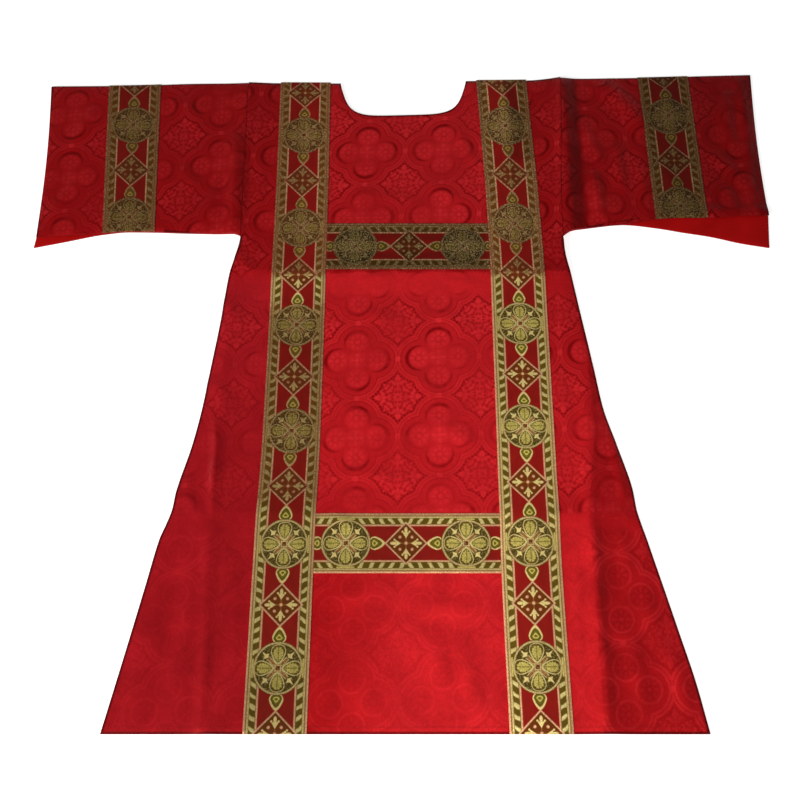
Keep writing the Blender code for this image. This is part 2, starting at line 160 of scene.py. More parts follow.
# creases of the laid cloth, placed one by one
creases = {
    "slack": 0.0018,  # the upper cloth lies this much above a pressed lie
    "roll": 0.024,  # how far from its edges it falls away
    "under": 0.22,  # share of a crease that the cloth below follows
    "rows": (  # from, to, sideways bow, half width, rise, sharpness
        # the left lengthwise fold and the puckers beside it
        ((-0.3260, 0.525), (-0.3200, 0.400), 0.003, 0.015, 0.0052, 0.8),
        ((-0.3210, 0.450), (-0.3180, 0.350), -0.002, 0.014, 0.0046, 0.8),
        ((-0.3220, 0.345), (-0.3180, 0.150), -0.002, 0.018, 0.0036, 0.8),
        ((-0.3170, 0.165), (-0.3150, 0.002), 0.001, 0.015, 0.0056, 0.8),
        ((-0.3520, 0.300), (-0.3620, 0.010), 0.006, 0.028, 0.0036, 0.2),
        ((-0.3850, 0.230), (-0.4200, 0.020), -0.008, 0.030, 0.0026, 0.0),
        ((-0.2860, 0.300), (-0.2820, 0.210), 0.003, 0.022, 0.0020, 0.1),
        ((-0.2700, 0.200), (-0.2780, 0.030), 0.004, 0.022, 0.0020, 0.1),
        # the right lengthwise fold and the puckers beside it
        ((0.3240, 0.600), (0.3180, 0.420), 0.000, 0.020, 0.0046, 0.9),
        ((0.3170, 0.470), (0.3170, 0.350), -0.002, 0.016, 0.0044, 0.9),
        ((0.3160, 0.345), (0.3180, 0.205), 0.002, 0.022, 0.0056, 0.9),
        ((0.3170, 0.240), (0.3190, 0.110), -0.003, 0.022, 0.0052, 0.9),
        ((0.3200, 0.140), (0.3180, 0.005), 0.002, 0.024, 0.0056, 0.9),
        ((0.3640, 0.330), (0.3700, 0.190), 0.004, 0.020, 0.0030, 0.1),
        ((0.3900, 0.270), (0.4160, 0.120), -0.005, 0.022, 0.0032, 0.1),
        ((0.3620, 0.160), (0.3780, 0.020), 0.004, 0.022, 0.0030, 0.1),
        ((0.4200, 0.150), (0.4480, 0.020), 0.003, 0.020, 0.0026, 0.1),
        ((0.3560, 0.500), (0.3760, 0.370), 0.003, 0.014, 0.0024, 0.3),
        # across the lower fold and below the crossbar
        ((-0.3900, 0.392), (-0.3360, 0.352), 0.004, 0.016, 0.0018, 0.1),
        ((-0.3660, 0.430), (-0.3560, 0.350), 0.002, 0.014, 0.0012, 0.1),
        ((-0.1240, 0.352), (-0.0700, 0.318), 0.003, 0.014, 0.0026, 0.2),
        ((-0.1300, 0.205), (-0.0100, 0.228), 0.004, 0.024, 0.0024, 0.0),
        ((0.0000, 0.215), (0.1450, 0.190), -0.006, 0.028, 0.0032, 0.0),
        ((0.0350, 0.165), (0.0700, 0.030), 0.008, 0.026, 0.0028, 0.0),
        ((0.1000, 0.150), (0.1250, 0.020), -0.005, 0.024, 0.0026, 0.0),
        ((-0.0900, 0.180), (-0.0650, 0.035), 0.010, 0.030, 0.0022, 0.0),
        ((-0.0200, 0.110), (0.0100, 0.010), -0.004, 0.022, 0.0022, 0.0),
        ((-0.1300, 0.120), (-0.1150, 0.015), 0.003, 0.018, 0.0018, 0.0),
        ((0.2850, 0.300), (0.2780, 0.100), 0.003, 0.018, 0.0018, 0.0),
        # the middle of the front
        ((-0.1200, 0.425), (0.0200, 0.405), 0.006, 0.022, 0.0022, 0.0),
        ((0.0300, 0.400), (0.1500, 0.435), -0.005, 0.024, 0.0024, 0.0),
        ((0.0450, 0.520), (0.1300, 0.470), 0.006, 0.022, 0.0022, 0.0),
        ((-0.1100, 0.560), (-0.0300, 0.500), -0.006, 0.024, 0.0020, 0.0),
        ((0.0000, 0.620), (0.0700, 0.560), 0.004, 0.020, 0.0018, 0.0),
        ((-0.0050, 0.520), (0.0030, 0.400), 0.002, 0.012, 0.0016, 0.4),
        ((-0.1000, 0.740), (0.0200, 0.700), 0.004, 0.022, 0.0018, 0.0),
        ((0.0600, 0.740), (0.1500, 0.690), -0.006, 0.022, 0.0020, 0.0),
        ((-0.0850, 0.795), (-0.0150, 0.806), 0.002, 0.012, 0.0020, 0.3),
        ((0.0750, 0.800), (0.1450, 0.792), -0.003, 0.012, 0.0018, 0.3),
        # the left side above the lower fold
        ((-0.3450, 0.600), (-0.3000, 0.540), 0.004, 0.018, 0.0022, 0.1),
        ((-0.3300, 0.760), (-0.2900, 0.700), 0.003, 0.016, 0.0020, 0.1),
        ((-0.3120, 0.860), (-0.2700, 0.812), -0.003, 0.014, 0.0030, 0.3),
        ((-0.2750, 0.660), (-0.2620, 0.480), 0.002, 0.014, 0.0018, 0.1),
        # the right side above the lower fold
        ((0.3100, 0.780), (0.2850, 0.640), -0.003, 0.016, 0.0022, 0.1),
        ((0.2720, 0.640), (0.2900, 0.450), 0.003, 0.014, 0.0020, 0.1),
        ((0.3050, 0.900), (0.2650, 0.840), 0.002, 0.014, 0.0030, 0.3),
        # the chest and the yoke
        ((-0.1000, 0.985), (0.0300, 0.965), 0.004, 0.022, 0.0018, 0.0),
        ((0.0500, 1.010), (0.1400, 0.960), -0.004, 0.020, 0.0018, 0.0),
        ((-0.0900, 1.140), (-0.1350, 1.030), 0.004, 0.016, 0.0020, 0.1),
        ((0.1050, 1.150), (0.1500, 1.040), -0.004, 0.016, 0.0022, 0.1),
        ((0.2080, 1.225), (0.2180, 1.085), 0.003, 0.022, 0.0050, 0.4),
        ((-0.1750, 1.220), (-0.1650, 1.120), 0.002, 0.014, 0.0018, 0.1),
        # the foot of the left sleeve
        ((-0.3260, 1.120), (-0.3180, 0.895), 0.003, 0.024, 0.0078, 0.6),
        ((-0.3560, 1.000), (-0.3860, 0.910), 0.004, 0.018, 0.0028, 0.1),
        ((-0.2760, 1.080), (-0.2700, 0.920), 0.002, 0.012, 0.0014, 0.1),
        # the left sleeve
        ((-0.4500, 1.210), (-0.3900, 1.120), 0.005, 0.022, 0.0024, 0.0),
        ((-0.4300, 1.050), (-0.3800, 0.990), -0.004, 0.020, 0.0022, 0.0),
        ((-0.6100, 1.190), (-0.6500, 1.080), 0.004, 0.020, 0.0026, 0.0),
        ((-0.6200, 1.010), (-0.6700, 0.920), -0.004, 0.018, 0.0026, 0.1),
        ((-0.5400, 1.120), (-0.5200, 0.980), 0.002, 0.022, 0.0018, 0.0),
        # the foot of the right sleeve
        ((0.3220, 1.262), (0.3230, 1.050), 0.002, 0.028, 0.0070, 0.6),
        ((0.3240, 1.120), (0.3200, 0.895), -0.002, 0.026, 0.0060, 0.6),
        ((0.3700, 1.035), (0.3720, 0.925), 0.002, 0.018, 0.0078, 0.2),
        ((0.3950, 1.245), (0.4760, 1.120), 0.010, 0.034, 0.0070, 0.2),
        ((0.3520, 1.165), (0.3960, 1.040), -0.006, 0.022, 0.0038, 0.2),
        ((0.4200, 1.100), (0.4240, 0.985), -0.003, 0.018, 0.0060, 0.3),
        ((0.4560, 1.060), (0.4620, 0.940), 0.003, 0.015, 0.0030, 0.3),
        # the right sleeve and its cuff
        ((0.5200, 1.240), (0.5320, 1.110), 0.006, 0.026, 0.0046, 0.2),
        ((0.5050, 1.050), (0.5450, 0.950), -0.004, 0.020, 0.0030, 0.1),
        ((0.6560, 1.225), (0.6420, 1.090), -0.010, 0.024, 0.0068, 0.1),
        ((0.6000, 1.080), (0.6600, 0.990), 0.005, 0.022, 0.0040, 0.1),
        ((0.6160, 1.000), (0.6300, 0.945), 0.003, 0.018, 0.0046, 0.1),
        ((0.6740, 1.258), (0.6700, 1.060), 0.003, 0.020, 0.0056, 0.3),
        ((0.6700, 1.100), (0.6660, 0.945), -0.002, 0.024, 0.0050, 0.3),
        ((0.4900, 0.938), (0.6200, 0.944), 0.001, 0.020, 0.0030, 0.2),
        ((0.5700, 0.940), (0.7300, 0.944), 0.000, 0.022, 0.0046, 0.2),
    ),
}

creaseLines = [
    (Vector(start), (Vector(end) - Vector(start)).normalized(), (Vector(end) - Vector(start)).length, *rest)
    for start, end, *rest in creases["rows"]
]


def bump(distance, reach):
    # a pressed fold's section: 1 on its crest, falling to a soft foot
    share = min(abs(distance) / reach, 1)
    return (1 - share) ** 2 * (1 + 0.5 * share)


@lru_cache(None)
def lift(x, height):
    # how far the four pressed folds raise both layers of cloth
    folds = (
        lowerCrest(x) * bump(height - body["lowerFold"], body["foldReach"]),
        upperCrest(x) * bump(height - body["upperFold"], body["foldReach"]),
        leftCrest(height) * bump(x - leftFold(height), body["sideReach"]),
        rightCrest(height) * bump(x - rightFold(height), body["sideReach"]),
    )
    return sum(fold**3 for fold in folds) ** (1 / 3)


sleeveEdges = {  # the sleeves' lower edges and cuffs
    "low": (
        ("across", "height"),
        (-0.6865, 0.8900),
        (-0.5625, 0.8980),
        (-0.4645, 0.9015),
        (-0.3025, 0.8880),
        (0.3025, 0.8870),
        (0.3620, 0.9120),
        (0.4795, 0.9290),
        (0.6945, 0.9360),
    ),
    "cuffs": (("height", "left", "right"), (0.890, -0.6865, 0.6940), (1.267, -0.7015, 0.7015)),
}
sleeveLow = track(sleeveEdges["low"], "height")
leftCuff, rightCuff = (track(sleeveEdges["cuffs"], side) for side in ("left", "right"))


def fromEdge(x, height):
    # roughly how far inside the garment's outline a point lies
    near = min(height, shoulder(x) - height)
    if leftFold(height) <= x <= rightFold(height) and height > body["armpit"]:
        side = min(x - leftFold(height), rightFold(height) - x)
        return min(near, hypot(side, height - body["armpit"]))
    if height > body["armpit"] and not leftEdge(height) < x < rightEdge(height):
        return min(near, height - sleeveLow(x), x - leftCuff(height), rightCuff(height) - x)
    return min(near, x - leftEdge(height), rightEdge(height) - x)


@lru_cache(None)
def crease(x, height):
    inside = min(max(fromEdge(x, height) / creases["roll"], 0), 1)
    rise = creases["slack"] * inside * (2 - inside)
    for start, way, length, bow, width, swell, sharp in creaseLines:
        along = ((x - start.x) * way.x + (height - start.y) * way.y) / length
        if not 0 < along < 1:
            continue
        off = (height - start.y) * way.x - (x - start.x) * way.y - bow * 4 * along * (1 - along)
        share = abs(off) / width
        if share >= 1:
            continue
        section = blend((1 - share**2) ** 2, (1 - share) ** 2 * (1 + 0.5 * share), sharp)
        rise += swell * section * (4 * along * (1 - along)) ** 0.6
    return max(rise, 0)


def laid(x, height, level, share=1.0):
    # a point of a layer whose level is given where the cloth lies flat, with this share of the creases
    return (x, height - body["length"] / 2, level + lift(x, height) + share * crease(x, height))


clothEdge = {
    "open": 0.45,  # past it a sleeve's flared underarm edge is left open, and doesn't roll
    "neck": 0.16,  # the neck is looked for nearer the middle than this, above the chest
    "chest": 1.10,
    "hidden": -0.0015,  # further out than this a point lies under other cloth
    "weld": 0.00002,
    "rim": 0.3,  # width of the softened rim, in walls of cloth
    "rimSegments": 2,
    "rimAngle": 50,
}


def addPiece(name, mesh, finishes):
    for finish in finishes:
        mesh.materials.append(finish)
    piece = bpy.data.objects.new(name, mesh)
    bpy.context.scene.collection.objects.link(piece)
    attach(piece, "root")
    return piece


def marginAt(x, height):
    # how far inside the cloth's edge a point lies, or 1 where it lies under other cloth
    near = fromEdge(x, height)
    if abs(x) > clothEdge["open"] and height > body["armpit"]:
        near = min(shoulder(x) - height, x - leftCuff(height), rightCuff(height) - x)
    if abs(x) < clothEdge["neck"] and height > clothEdge["chest"]:
        near = min(hypot(x - a, height - b) for a, b in neckLine + [(x, height - near)])
    return near if near > clothEdge["hidden"] else 1


def clothSheet(name, columns, rows, place, wall, finishes, paint=None):
    # place(i, j) gives a point, its place in the weave in metres and its place in a galloon's repeat;
    # paint gives a face's finish, the next finish is its other side's, and the last one is the edge's
    cloth = bmesh.new()
    bmesh.ops.create_grid(cloth, x_segments=columns - 1, y_segments=rows - 1, size=1)
    maps = [cloth.loops.layers.uv.new(layer) for layer in ("weave", "braid", "margin")]
    at = {}
    for vert in cloth.verts:
        i = round((vert.co.x + 1) / 2 * (columns - 1))
        j = round((vert.co.y + 1) / 2 * (rows - 1))
        vert.co, *at[vert] = place(i, j)
        at[vert] += [(marginAt(vert.co.x, vert.co.y + body["length"] / 2), 0), i, j]
    for face in cloth.faces:
        face.smooth = True
        for loop in face.loops:
            for layer, spot in zip(maps, at[loop.vert]):
                loop[layer].uv = spot
        if paint:
            face.material_index = paint(*(min(at[v][k] for v in face.verts) for k in (3, 4)))
    bmesh.ops.remove_doubles(cloth, verts=cloth.verts, dist=clothEdge["weld"])
    mesh = bpy.data.meshes.new(name)
    cloth.to_mesh(mesh)
    cloth.free()
    piece = addPiece(name, mesh, finishes)
    thickness = piece.modifiers.new("wall", "SOLIDIFY")
    thickness.thickness = wall
    thickness.offset = 1
    thickness.use_even_offset = True
    if paint:
        thickness.material_offset = 1
    thickness.material_offset_rim = len(finishes) - 1
    rim = piece.modifiers.new("soft rim", "BEVEL")
    rim.width = wall * clothEdge["rim"]
    rim.segments = clothEdge["rimSegments"]
    rim.limit_method = "ANGLE"
    rim.angle_limit = radians(clothEdge["rimAngle"])
    return piece


class Fibre:
    # a socket of a material's nodes; arithmetic on it adds Math nodes

    def __init__(self, tree, socket):
        self.tree, self.socket = tree, socket

    def node(self, kind, settings=(), inputs=(), out=0):
        made = self.tree.nodes.new("ShaderNode" + kind)
        for name, value in dict(settings).items():
            setattr(made, name, value)
        for name, value in dict(inputs).items():
            if isinstance(value, Fibre):
                self.tree.links.new(value.socket, made.inputs[name])
            else:
                made.inputs[name].default_value = value
        return Fibre(self.tree, made.outputs[out])

    def maths(self, operation, *others):
        return self.node("Math", {"operation": operation}, enumerate((self, *others)))

    def __add__(self, other):
        return self.maths("ADD", other)

    __radd__ = __add__

    def __sub__(self, other):
        return self.maths("SUBTRACT", other)

    def __rsub__(self, other):
        return self.node("Math", {"operation": "SUBTRACT"}, {0: other, 1: self})

    def __mul__(self, other):
        return self.maths("MULTIPLY", other)

    __rmul__ = __mul__

    def __truediv__(self, other):
        return self.maths("DIVIDE", other)

    def __pow__(self, other):
        return self.maths("POWER", other)

    def __abs__(self):
        return self.maths("ABSOLUTE")

    def more(self, other):
        return self.maths("MAXIMUM", other)

    def less(self, other):
        return self.maths("MINIMUM", other)

    def far(self, other):
        return (self * self + other * other) ** 0.5

    def under(self, limit, soft):
        # 1 where the value is below the limit, with a soft step
        steps = {0: self, 1: limit - soft, 2: limit + soft, 3: 1.0, 4: 0.0}
        return self.node("MapRange", {"interpolation_type": "SMOOTHSTEP"}, steps)

    def over(self, limit, soft):
        return 1 - self.under(limit, soft)

    def line(self, at, half, soft):
        return abs(self - at).under(half, soft)

    def paint(self, below, above):
        # the colour below, covered by the colour above where this mask is 1
        return self.node("Mix", {"data_type": "RGBA"}, {0: self, 6: below, 7: above}, out=2)

    def times(self, value):
        # this colour, brightened by a value
        return self.node("HueSaturation", (), {"Color": self, "Value": value})

    def raised(self, strength, distance):
        return self.node("Bump", (), {"Strength": strength, "Distance": distance, "Height": self})


def newFinish(name, **constants):
    finish = bpy.data.materials.new(name)
    finish.use_nodes = True
    surface = finish.node_tree.nodes["Principled BSDF"]
    for socket, value in constants.items():
        surface.inputs[socket.replace("_", " ")].default_value = value
    start = Fibre(finish.node_tree, None)
    return finish, surface, start


def parted(where):
    return [where.node("SeparateXYZ", (), {0: where}, out=k) for k in range(2)]


def acrossAndUp(start):
    # where a point lies across the garment, and its height from the hem
    x, y = parted(start.node("TexCoord", out=3))
    return x, y + body["length"] / 2


def mapUv(start, layer):
    where = start.node("UVMap", {"uv_map": layer})
    return where, parted(where)


def noise(where, size, detail, roughness=0.5):
    return where.node(
        "TexNoise", (), {"Vector": where, "Scale": size, "Detail": detail, "Roughness": roughness}
    )


def threads(where, across, along):
    # uneven fibres: noise drawn out along the thread
    drawn = where.node("Mapping", (), {0: where, 3: (across, along, 1)})
    return noise(drawn, 1.0, 2.0)


def feed(surface, start, **links):
    for socket, value in links.items():
        start.tree.links.new(value.socket, surface.inputs[socket.replace("_", " ")])


def srgb(red, green, blue):
    return tuple((c / 255) ** 2.2 for c in (red, green, blue)) + (1.0,)


damaskCloth = {
    "pitch": (0.1447, 0.1475),  # one repeat across and along
    "start": (-0.0797, 0.1972),  # the middle of one quatrefoil
    # the figure inside one repeat, in millimetres
    "repeat": 146,
    "ragged": 3.0,  # its edges step from thread to thread
    "soft": 0.8,
    "discAt": 35.5,  # the four discs of a quatrefoil
    "disc": 20.4,
    "floret": (7.6, 15.5),  # inside a disc, from its middle
    "petals": 8,
    "eye": 3.6,
    "eyeRing": 6.4,
    "crescent": (24.6, 30.2, 22.8),  # its radius, then the middle and radius of the bite out of it
    "well": 21.5,  # the ground between the discs
    "heart": 17.0,
    "knot": (9.0, 4.6, 3.0),
    "knotEye": 4.0,
    "arcAt": 32,  # the ribbons that frame a quatrefoil
    "inner": 35.6,
    "ribbon": 41.5,
    "outline": 48.5,
    "teeth": 48,
    "boss": 5.5,
    # where it shows more or less, in metres
    "middle": (0.010, 0.165),  # the stretch between the galloons: its middle and half its width
    "side": 0.19,  # the cloth outside the galloons
    "fold": 0.313,  # the right lengthwise fold
    "pressed": ((0.789, 0.021, 0.014), (0.336, 0.012, 0.010)),  # bands just below the pressed folds where painted sheen washes out the figure: height, half height and soft edge
    # its threads
    "ground": srgb(157, 21, 25),
    # the ground as painted where painted light falls strongly on it
    "lit": srgb(159, 28, 32),
    "figure": srgb(102, 9, 13),
    "light": srgb(194, 43, 47),
    "bloom": srgb(152, 30, 38),  # the cooler red of the left side
}


starFigure = {  # the star's parts: places and sizes from its middle, in millimetres
    "from": 50.0,  # it starts this far from the ribbons' middles
    "tip": (33, 11, 4.0),
    "wing": (27, 7.5, 6.0, 2.6),
    "seed": (13.0, 13.0, 4.0),
    "stem": (8, 22, 1.2),
    "ring": (6.5, 1.3),
    "eye": 2.6,
    "dots": ((8.6, 8.6, 2.0), (21, 12.5, 1.8), (17.5, 4.6, 1.7)),
    "vine": (22, 9.5, 0.7),
    "sprigs": (0.47, 0.52),  # how close the fine sprigs stand
}


def spot(along, across, at, up, size, soft):
    # a round dot
    return (along - at).far(across - up).under(size, soft)


def oval(along, across, at, length, width, soft):
    return ((along - at) / length).far(across / width).under(1.0, soft)


def damaskStar(arc, p, q):
    # the leafy star between four quatrefoils: its dark, its light and its light where the sheen is painted
    # as turned
    soft, cut = damaskCloth["soft"], starFigure
    pm, pn = p.more(q), p.less(q)
    star = arc.over(cut["from"], soft)
    at, up, length, width = cut["wing"]
    wing = (((pm - at) * 0.8 + (pn - up) * 0.6) / length).far(((pn - up) * 0.8 - (pm - at) * 0.6) / width)
    eye = pm.far(pn)
    start, end, half = cut["stem"]
    stem = pn.under(half, soft) * pm.under(end, soft) * pm.over(start, soft)
    bright = oval(pm, pn, *cut["tip"], 0.2).more(wing.under(1.0, 0.2)).more(spot(pm, pn, *cut["seed"], soft))
    bright = bright.more(eye.line(*cut["ring"], soft)).more(stem)
    dots = eye.under(cut["eye"], soft)
    for dot in cut["dots"]:
        dots = dots.more(spot(pm, pn, *dot, soft))
    at, radius, half = cut["vine"]
    vine = (pm - at).far(pn).line(radius, half, soft)
    close, closer = cut["sprigs"]
    sprig = ((pm + pn * 0.5) * close).maths("SINE") * ((pn - pm * 0.25) * closer).maths("COSINE")
    dark = (dots * 0.50).more(vine * 0.30).more(sprig.under(-0.20, 0.6) * 0.38)
    light = (bright * 0.50).more(sprig.over(0.15, 0.6) * 0.36)
    return star * dark, star * light, star * bright.more(sprig.over(0.3, 0.3))


def damaskFigure(a, b):
    # the dark and the light of the figure on most of the cloth, then where its sheen is painted as turned
    # over
    cut = damaskCloth
    soft = cut["soft"]
    m, n = a.more(b), a.less(b)
    # the quatrefoil: four discs, each capped by a dark crescent
    disc = (m - cut["discAt"]).far(n)
    outer, biteAt, bite = cut["crescent"]
    crescent = disc.under(outer, 2.6) * (m - biteAt).far(n).over(bite, 3.2)
    petals = 0.5 + 0.5 * (n.maths("ARCTAN2", m - cut["discAt"]) * cut["petals"]).maths("COSINE")
    start, end = cut["floret"]
    floret = disc.under(end, 3) * disc.over(start, 1.5) * petals + disc.under(cut["eye"], 1.2)
    discRing = disc.line(cut["eyeRing"], 0.6, 1.2).more(disc.line(cut["disc"], 0.6, 1.0) * 0.5)
    heart = m.far(n)
    well = disc.over(cut["well"], 2.0) * heart.over(cut["heart"], 3.0)
    knot = heart.under(cut["knotEye"], soft).more(oval(m, n, *cut["knot"], 0.25))
    # ribbons frame it, and meet in a bright boss
    arc = (m - cut["arcAt"]).far(n)
    ribbon = arc.line(cut["ribbon"], 4.6, 1.2)
    ribbonEdge = arc.line(cut["inner"], 1.0, soft).more(arc.line(cut["ribbon"], 0.6, soft))
    teeth = (n.maths("ARCTAN2", m - cut["arcAt"]) * cut["teeth"]).maths("COSINE")
    outline = arc.line(cut["outline"], 2.2, 1.5) * (0.68 + 0.32 * teeth)
    boss = (m - cut["repeat"] / 2).far(n).under(cut["boss"], 1.2)
    starDark, starLight, starTurned = damaskStar(arc, cut["repeat"] / 2 - a, cut["repeat"] / 2 - b)
    dark = (crescent * 0.76).more(outline * 0.88).more(ribbonEdge * 0.40).more(discRing * 0.22)
    dark = dark.more(well * arc.under(36.0, 2.0) * 0.06).more(starDark)
    light = (disc.under(cut["disc"], 3.0) * 0.13 + floret * 0.28).more(knot * 0.5)
    light = light.more(ribbon * 0.16).more(boss * 0.55)
    light = light.more(heart.under(cut["heart"], 5.0) * 0.22) * (1 - dark)
    light = light.more(starLight) * (1 - dark * 0.8)
    # painted sheen: below the lower fold the figure is drawn as the turned sheen shows it, with light
    # outlines and quieter discs
    turnedDark = (disc.under(17.5, 4) * 0.26).more(outline * 0.30).more(crescent * 0.20)
    turnedLight = disc.line(20.8, 1.8, 2.0) * 0.8
    for radius in (37.0, 43.0):
        turnedLight = turnedLight.more(arc.line(radius, 1.6, 2.0))
    turnedLight = (turnedLight * 0.40).more(starTurned * 0.26).more(floret * 0.16).more(boss * 0.4)
    return crescent, (dark, light), (turnedDark, turnedLight)


def damaskShown(x, height, bent, turned, cloud):
    # how strongly the figure shows: painted sheen washes it out just below the crosswise folds; it also
    # fades at random, away from the middle and where the sheen is painted as turned
    middle, half = damaskCloth["middle"]
    centre = x.line(middle, half, 0.004)
    left, right = x.under(-damaskCloth["side"], 0.01), x.over(damaskCloth["side"], 0.01)
    strip = right * bent.under(damaskCloth["fold"], 0.004)
    upper, lower = (height.line(*place) for place in damaskCloth["pressed"])
    shown = (1 - upper.more(lower) * 0.9) * (0.80 + 0.20 * height.over(0.50, 0.10)).more(turned)
    patchy = (cloud - 0.5) * 3.2 + 0.95
    shown = shown * patchy.more(0.55).less(1.2) * (1 - turned * centre * 0.50)
    quiet = (1 - centre) * (1 - turned) * (0.10 + 0.38 * height.under(0.68, 0.10))
    shown = shown * (1 - quiet * (1 - right * 0.8))
    return shown * (1 - turned * strip * 0.6) * (1 - turned * left * 0.6)


def damaskFinish():
    cut = damaskCloth
    finish, surface, start = newFinish(
        "red damask", Sheen_Weight=0.12, Sheen_Roughness=0.4, Sheen_Tint=srgb(255, 40, 40),
        Specular_IOR_Level=0.50, Specular_Tint=srgb(255, 70, 60),
    )
    where, (u, v) = mapUv(start, "weave")
    margin = mapUv(start, "margin")[1][0]
    x, height = acrossAndUp(start)
    # how far a point lies from the middle of the nearest quatrefoil, across and along
    turns = [(way - cut["start"][k]) / cut["pitch"][k] for k, way in enumerate((u, v))]
    ragged = [noise(where, size, 2.0) - 0.5 for size in (150, 190)]
    a, b = (
        abs(turn - turn.maths("ROUND")) * cut["repeat"] + step * cut["ragged"]
        for turn, step in zip(turns, ragged)
    )
    crescent, plain, turnedFigure = damaskFigure(a, b)
    # the lie of the satin, whose right edge leans out with the lengthwise fold; the painted light and
    # painted sheen below follow it
    turned = height.under(body["lowerFold"], 0.006)
    bent = x - 0.0195 * (height.over(0.43, 0.09) - height.over(0.70, 0.12))
    cloud = noise(where, 12.0, 4.0, 0.6)
    # the crescents show more or less at random
    wearAndShade = ((cloud - 0.5) * 6.5 + 0.85).more(0.35).less(1.1)
    dark, light = plain
    dark = dark * (1 - crescent * (1 - wearAndShade))
    shown = damaskShown(x, height, bent, turned, cloud)
    # painted sheen: below the lower fold the turned figure takes the place of the plain one
    dark, light = (
        turned.node("Mix", (), {0: turned, 2: above, 3: below}) * shown
        for above, below in zip((dark, light), turnedFigure)
    )
    # uneven thread and dye
    wander = noise(where, 22.0, 2.0) - 0.5
    speck, slub = noise(where, 330.0, 1.0), noise(where, 120.0, 2.0)
    weft = threads(where, 260, 1500)
    mottle = (cloud - 0.5) * (0.48 + turned * 0.52) + (slub - 0.5) * 0.26
    mottle = mottle + (speck - 0.5) * 0.34 + (weft - 0.5) * 0.16
    # painted light and shade: each zone of the satin made lighter or darker by its gain
    paintedLight = paintedLightOf(bent + wander * 0.006, height + wander * 0.020, paintedLights)
    # painted light: where the painted light is strong the ground turns to the lit red
    colour = ((paintedLight - 1) * 1.3).more(0).less(1).paint(cut["ground"], cut["lit"])
    bloom = x.under(-cut["side"], 0.01) * height.under(0.80, 0.02) * 0.5
    colour = bloom.paint(colour, cut["bloom"])
    colour = (dark * 0.95).paint(colour, cut["figure"])
    colour = light.paint(colour, cut["light"])
    edgeShade = 1 - margin.under(0.0038, 0.0018) * 0.72  # painted shade: darker within a few millimetres of the cloth's edge, where the edge rolls away from the light
    shade = colour.times((1 + mottle) * paintedLight * edgeShade)
    bumped = (light * 0.5 - dark + weft * 0.5 + speck * 0.3).raised(0.35, 0.0004)
    feed(surface, start, Base_Color=shade, Roughness=0.44 + dark * 0.14 - light * 0.08, Normal=bumped)
    return finish


paintedLights = (  # painted light and shade: how brightly each zone of the satin is painted for how its lie takes the light: left, right, low, high, soft edge, gain
    (-0.190, 0.210, -0.10, 1.400, 0.0200, 1.56),
    (-0.190, 0.210, -0.10, 0.815, 0.0040, 1.13),
    (-0.190, 0.010, -0.10, 1.400, 0.1000, 0.93),
    (-0.190, -0.090, -0.10, 0.330, 0.0700, 0.70),
    (0.010, 0.130, -0.10, 0.330, 0.0500, 1.10),
    (-0.190, 0.210, 0.768, 0.812, 0.0080, 1.10),
    (-0.190, 0.210, 0.812, 0.900, 0.0030, 0.70),
    (0.210, 0.313, -0.10, 0.815, 0.0025, 1.46),
    (0.210, 0.313, -0.10, 0.345, 0.0100, 1.12),
    (0.210, 0.313, 0.400, 0.620, 0.0500, 1.12),
    (0.313, 0.800, -0.10, 0.815, 0.0025, 1.24),
    (0.313, 0.800, -0.10, 0.345, 0.0100, 1.05),
    (-0.800, -0.190, -0.10, 0.815, 0.0100, 1.14),
    (-0.800, -0.190, -0.10, 0.330, 0.0800, 0.92),
    (-0.800, -0.190, 0.580, 0.815, 0.0500, 1.16),
    (-0.300, -0.190, 0.740, 0.815, 0.0200, 1.12),
    (-0.300, -0.190, 0.815, 1.050, 0.0300, 1.12),
    (-0.322, -0.292, 0.860, 1.140, 0.0100, 0.84),
    (0.319, 0.349, 0.860, 1.400, 0.0080, 0.56),
    (0.330, 0.800, 0.800, 1.400, 0.0100, 0.96),
    (0.470, 0.800, 0.800, 1.400, 0.0120, 0.75),
    (0.676, 0.800, 0.800, 1.400, 0.0070, 0.74),
)


# the painted light and shade at a point: the gains of the zones it lies in, multiplied
def paintedLightOf(x, height, rows):
    paintedLight = x * 0 + 1
    for left, right, low, high, soft, gain in rows:
        across = x.over(left, soft) * x.under(right, soft)
        inside = across * height.over(low, soft) * height.under(high, soft)
        paintedLight = paintedLight * (1 + inside * (gain - 1))
    return paintedLight


def liningFinish():
    finish, surface, start = newFinish(
        "plain red lining", Specular_IOR_Level=0.3, Specular_Tint=srgb(255, 80, 70)
    )
    where = start.node("TexCoord", out=3)
    warp, weft = threads(where, 1400, 180), threads(where, 180, 1400)
    mixed = (warp + weft) * 0.5
    colour = mixed.paint(srgb(166, 17, 18), srgb(193, 26, 26))
    shade = colour.times(0.70 + noise(where, 18.0, 3.0) * 0.60)
    feed(surface, start, Base_Color=shade, Roughness=0.50 + mixed * 0.2, Normal=mixed.raised(0.3, 0.0003))
    return finish


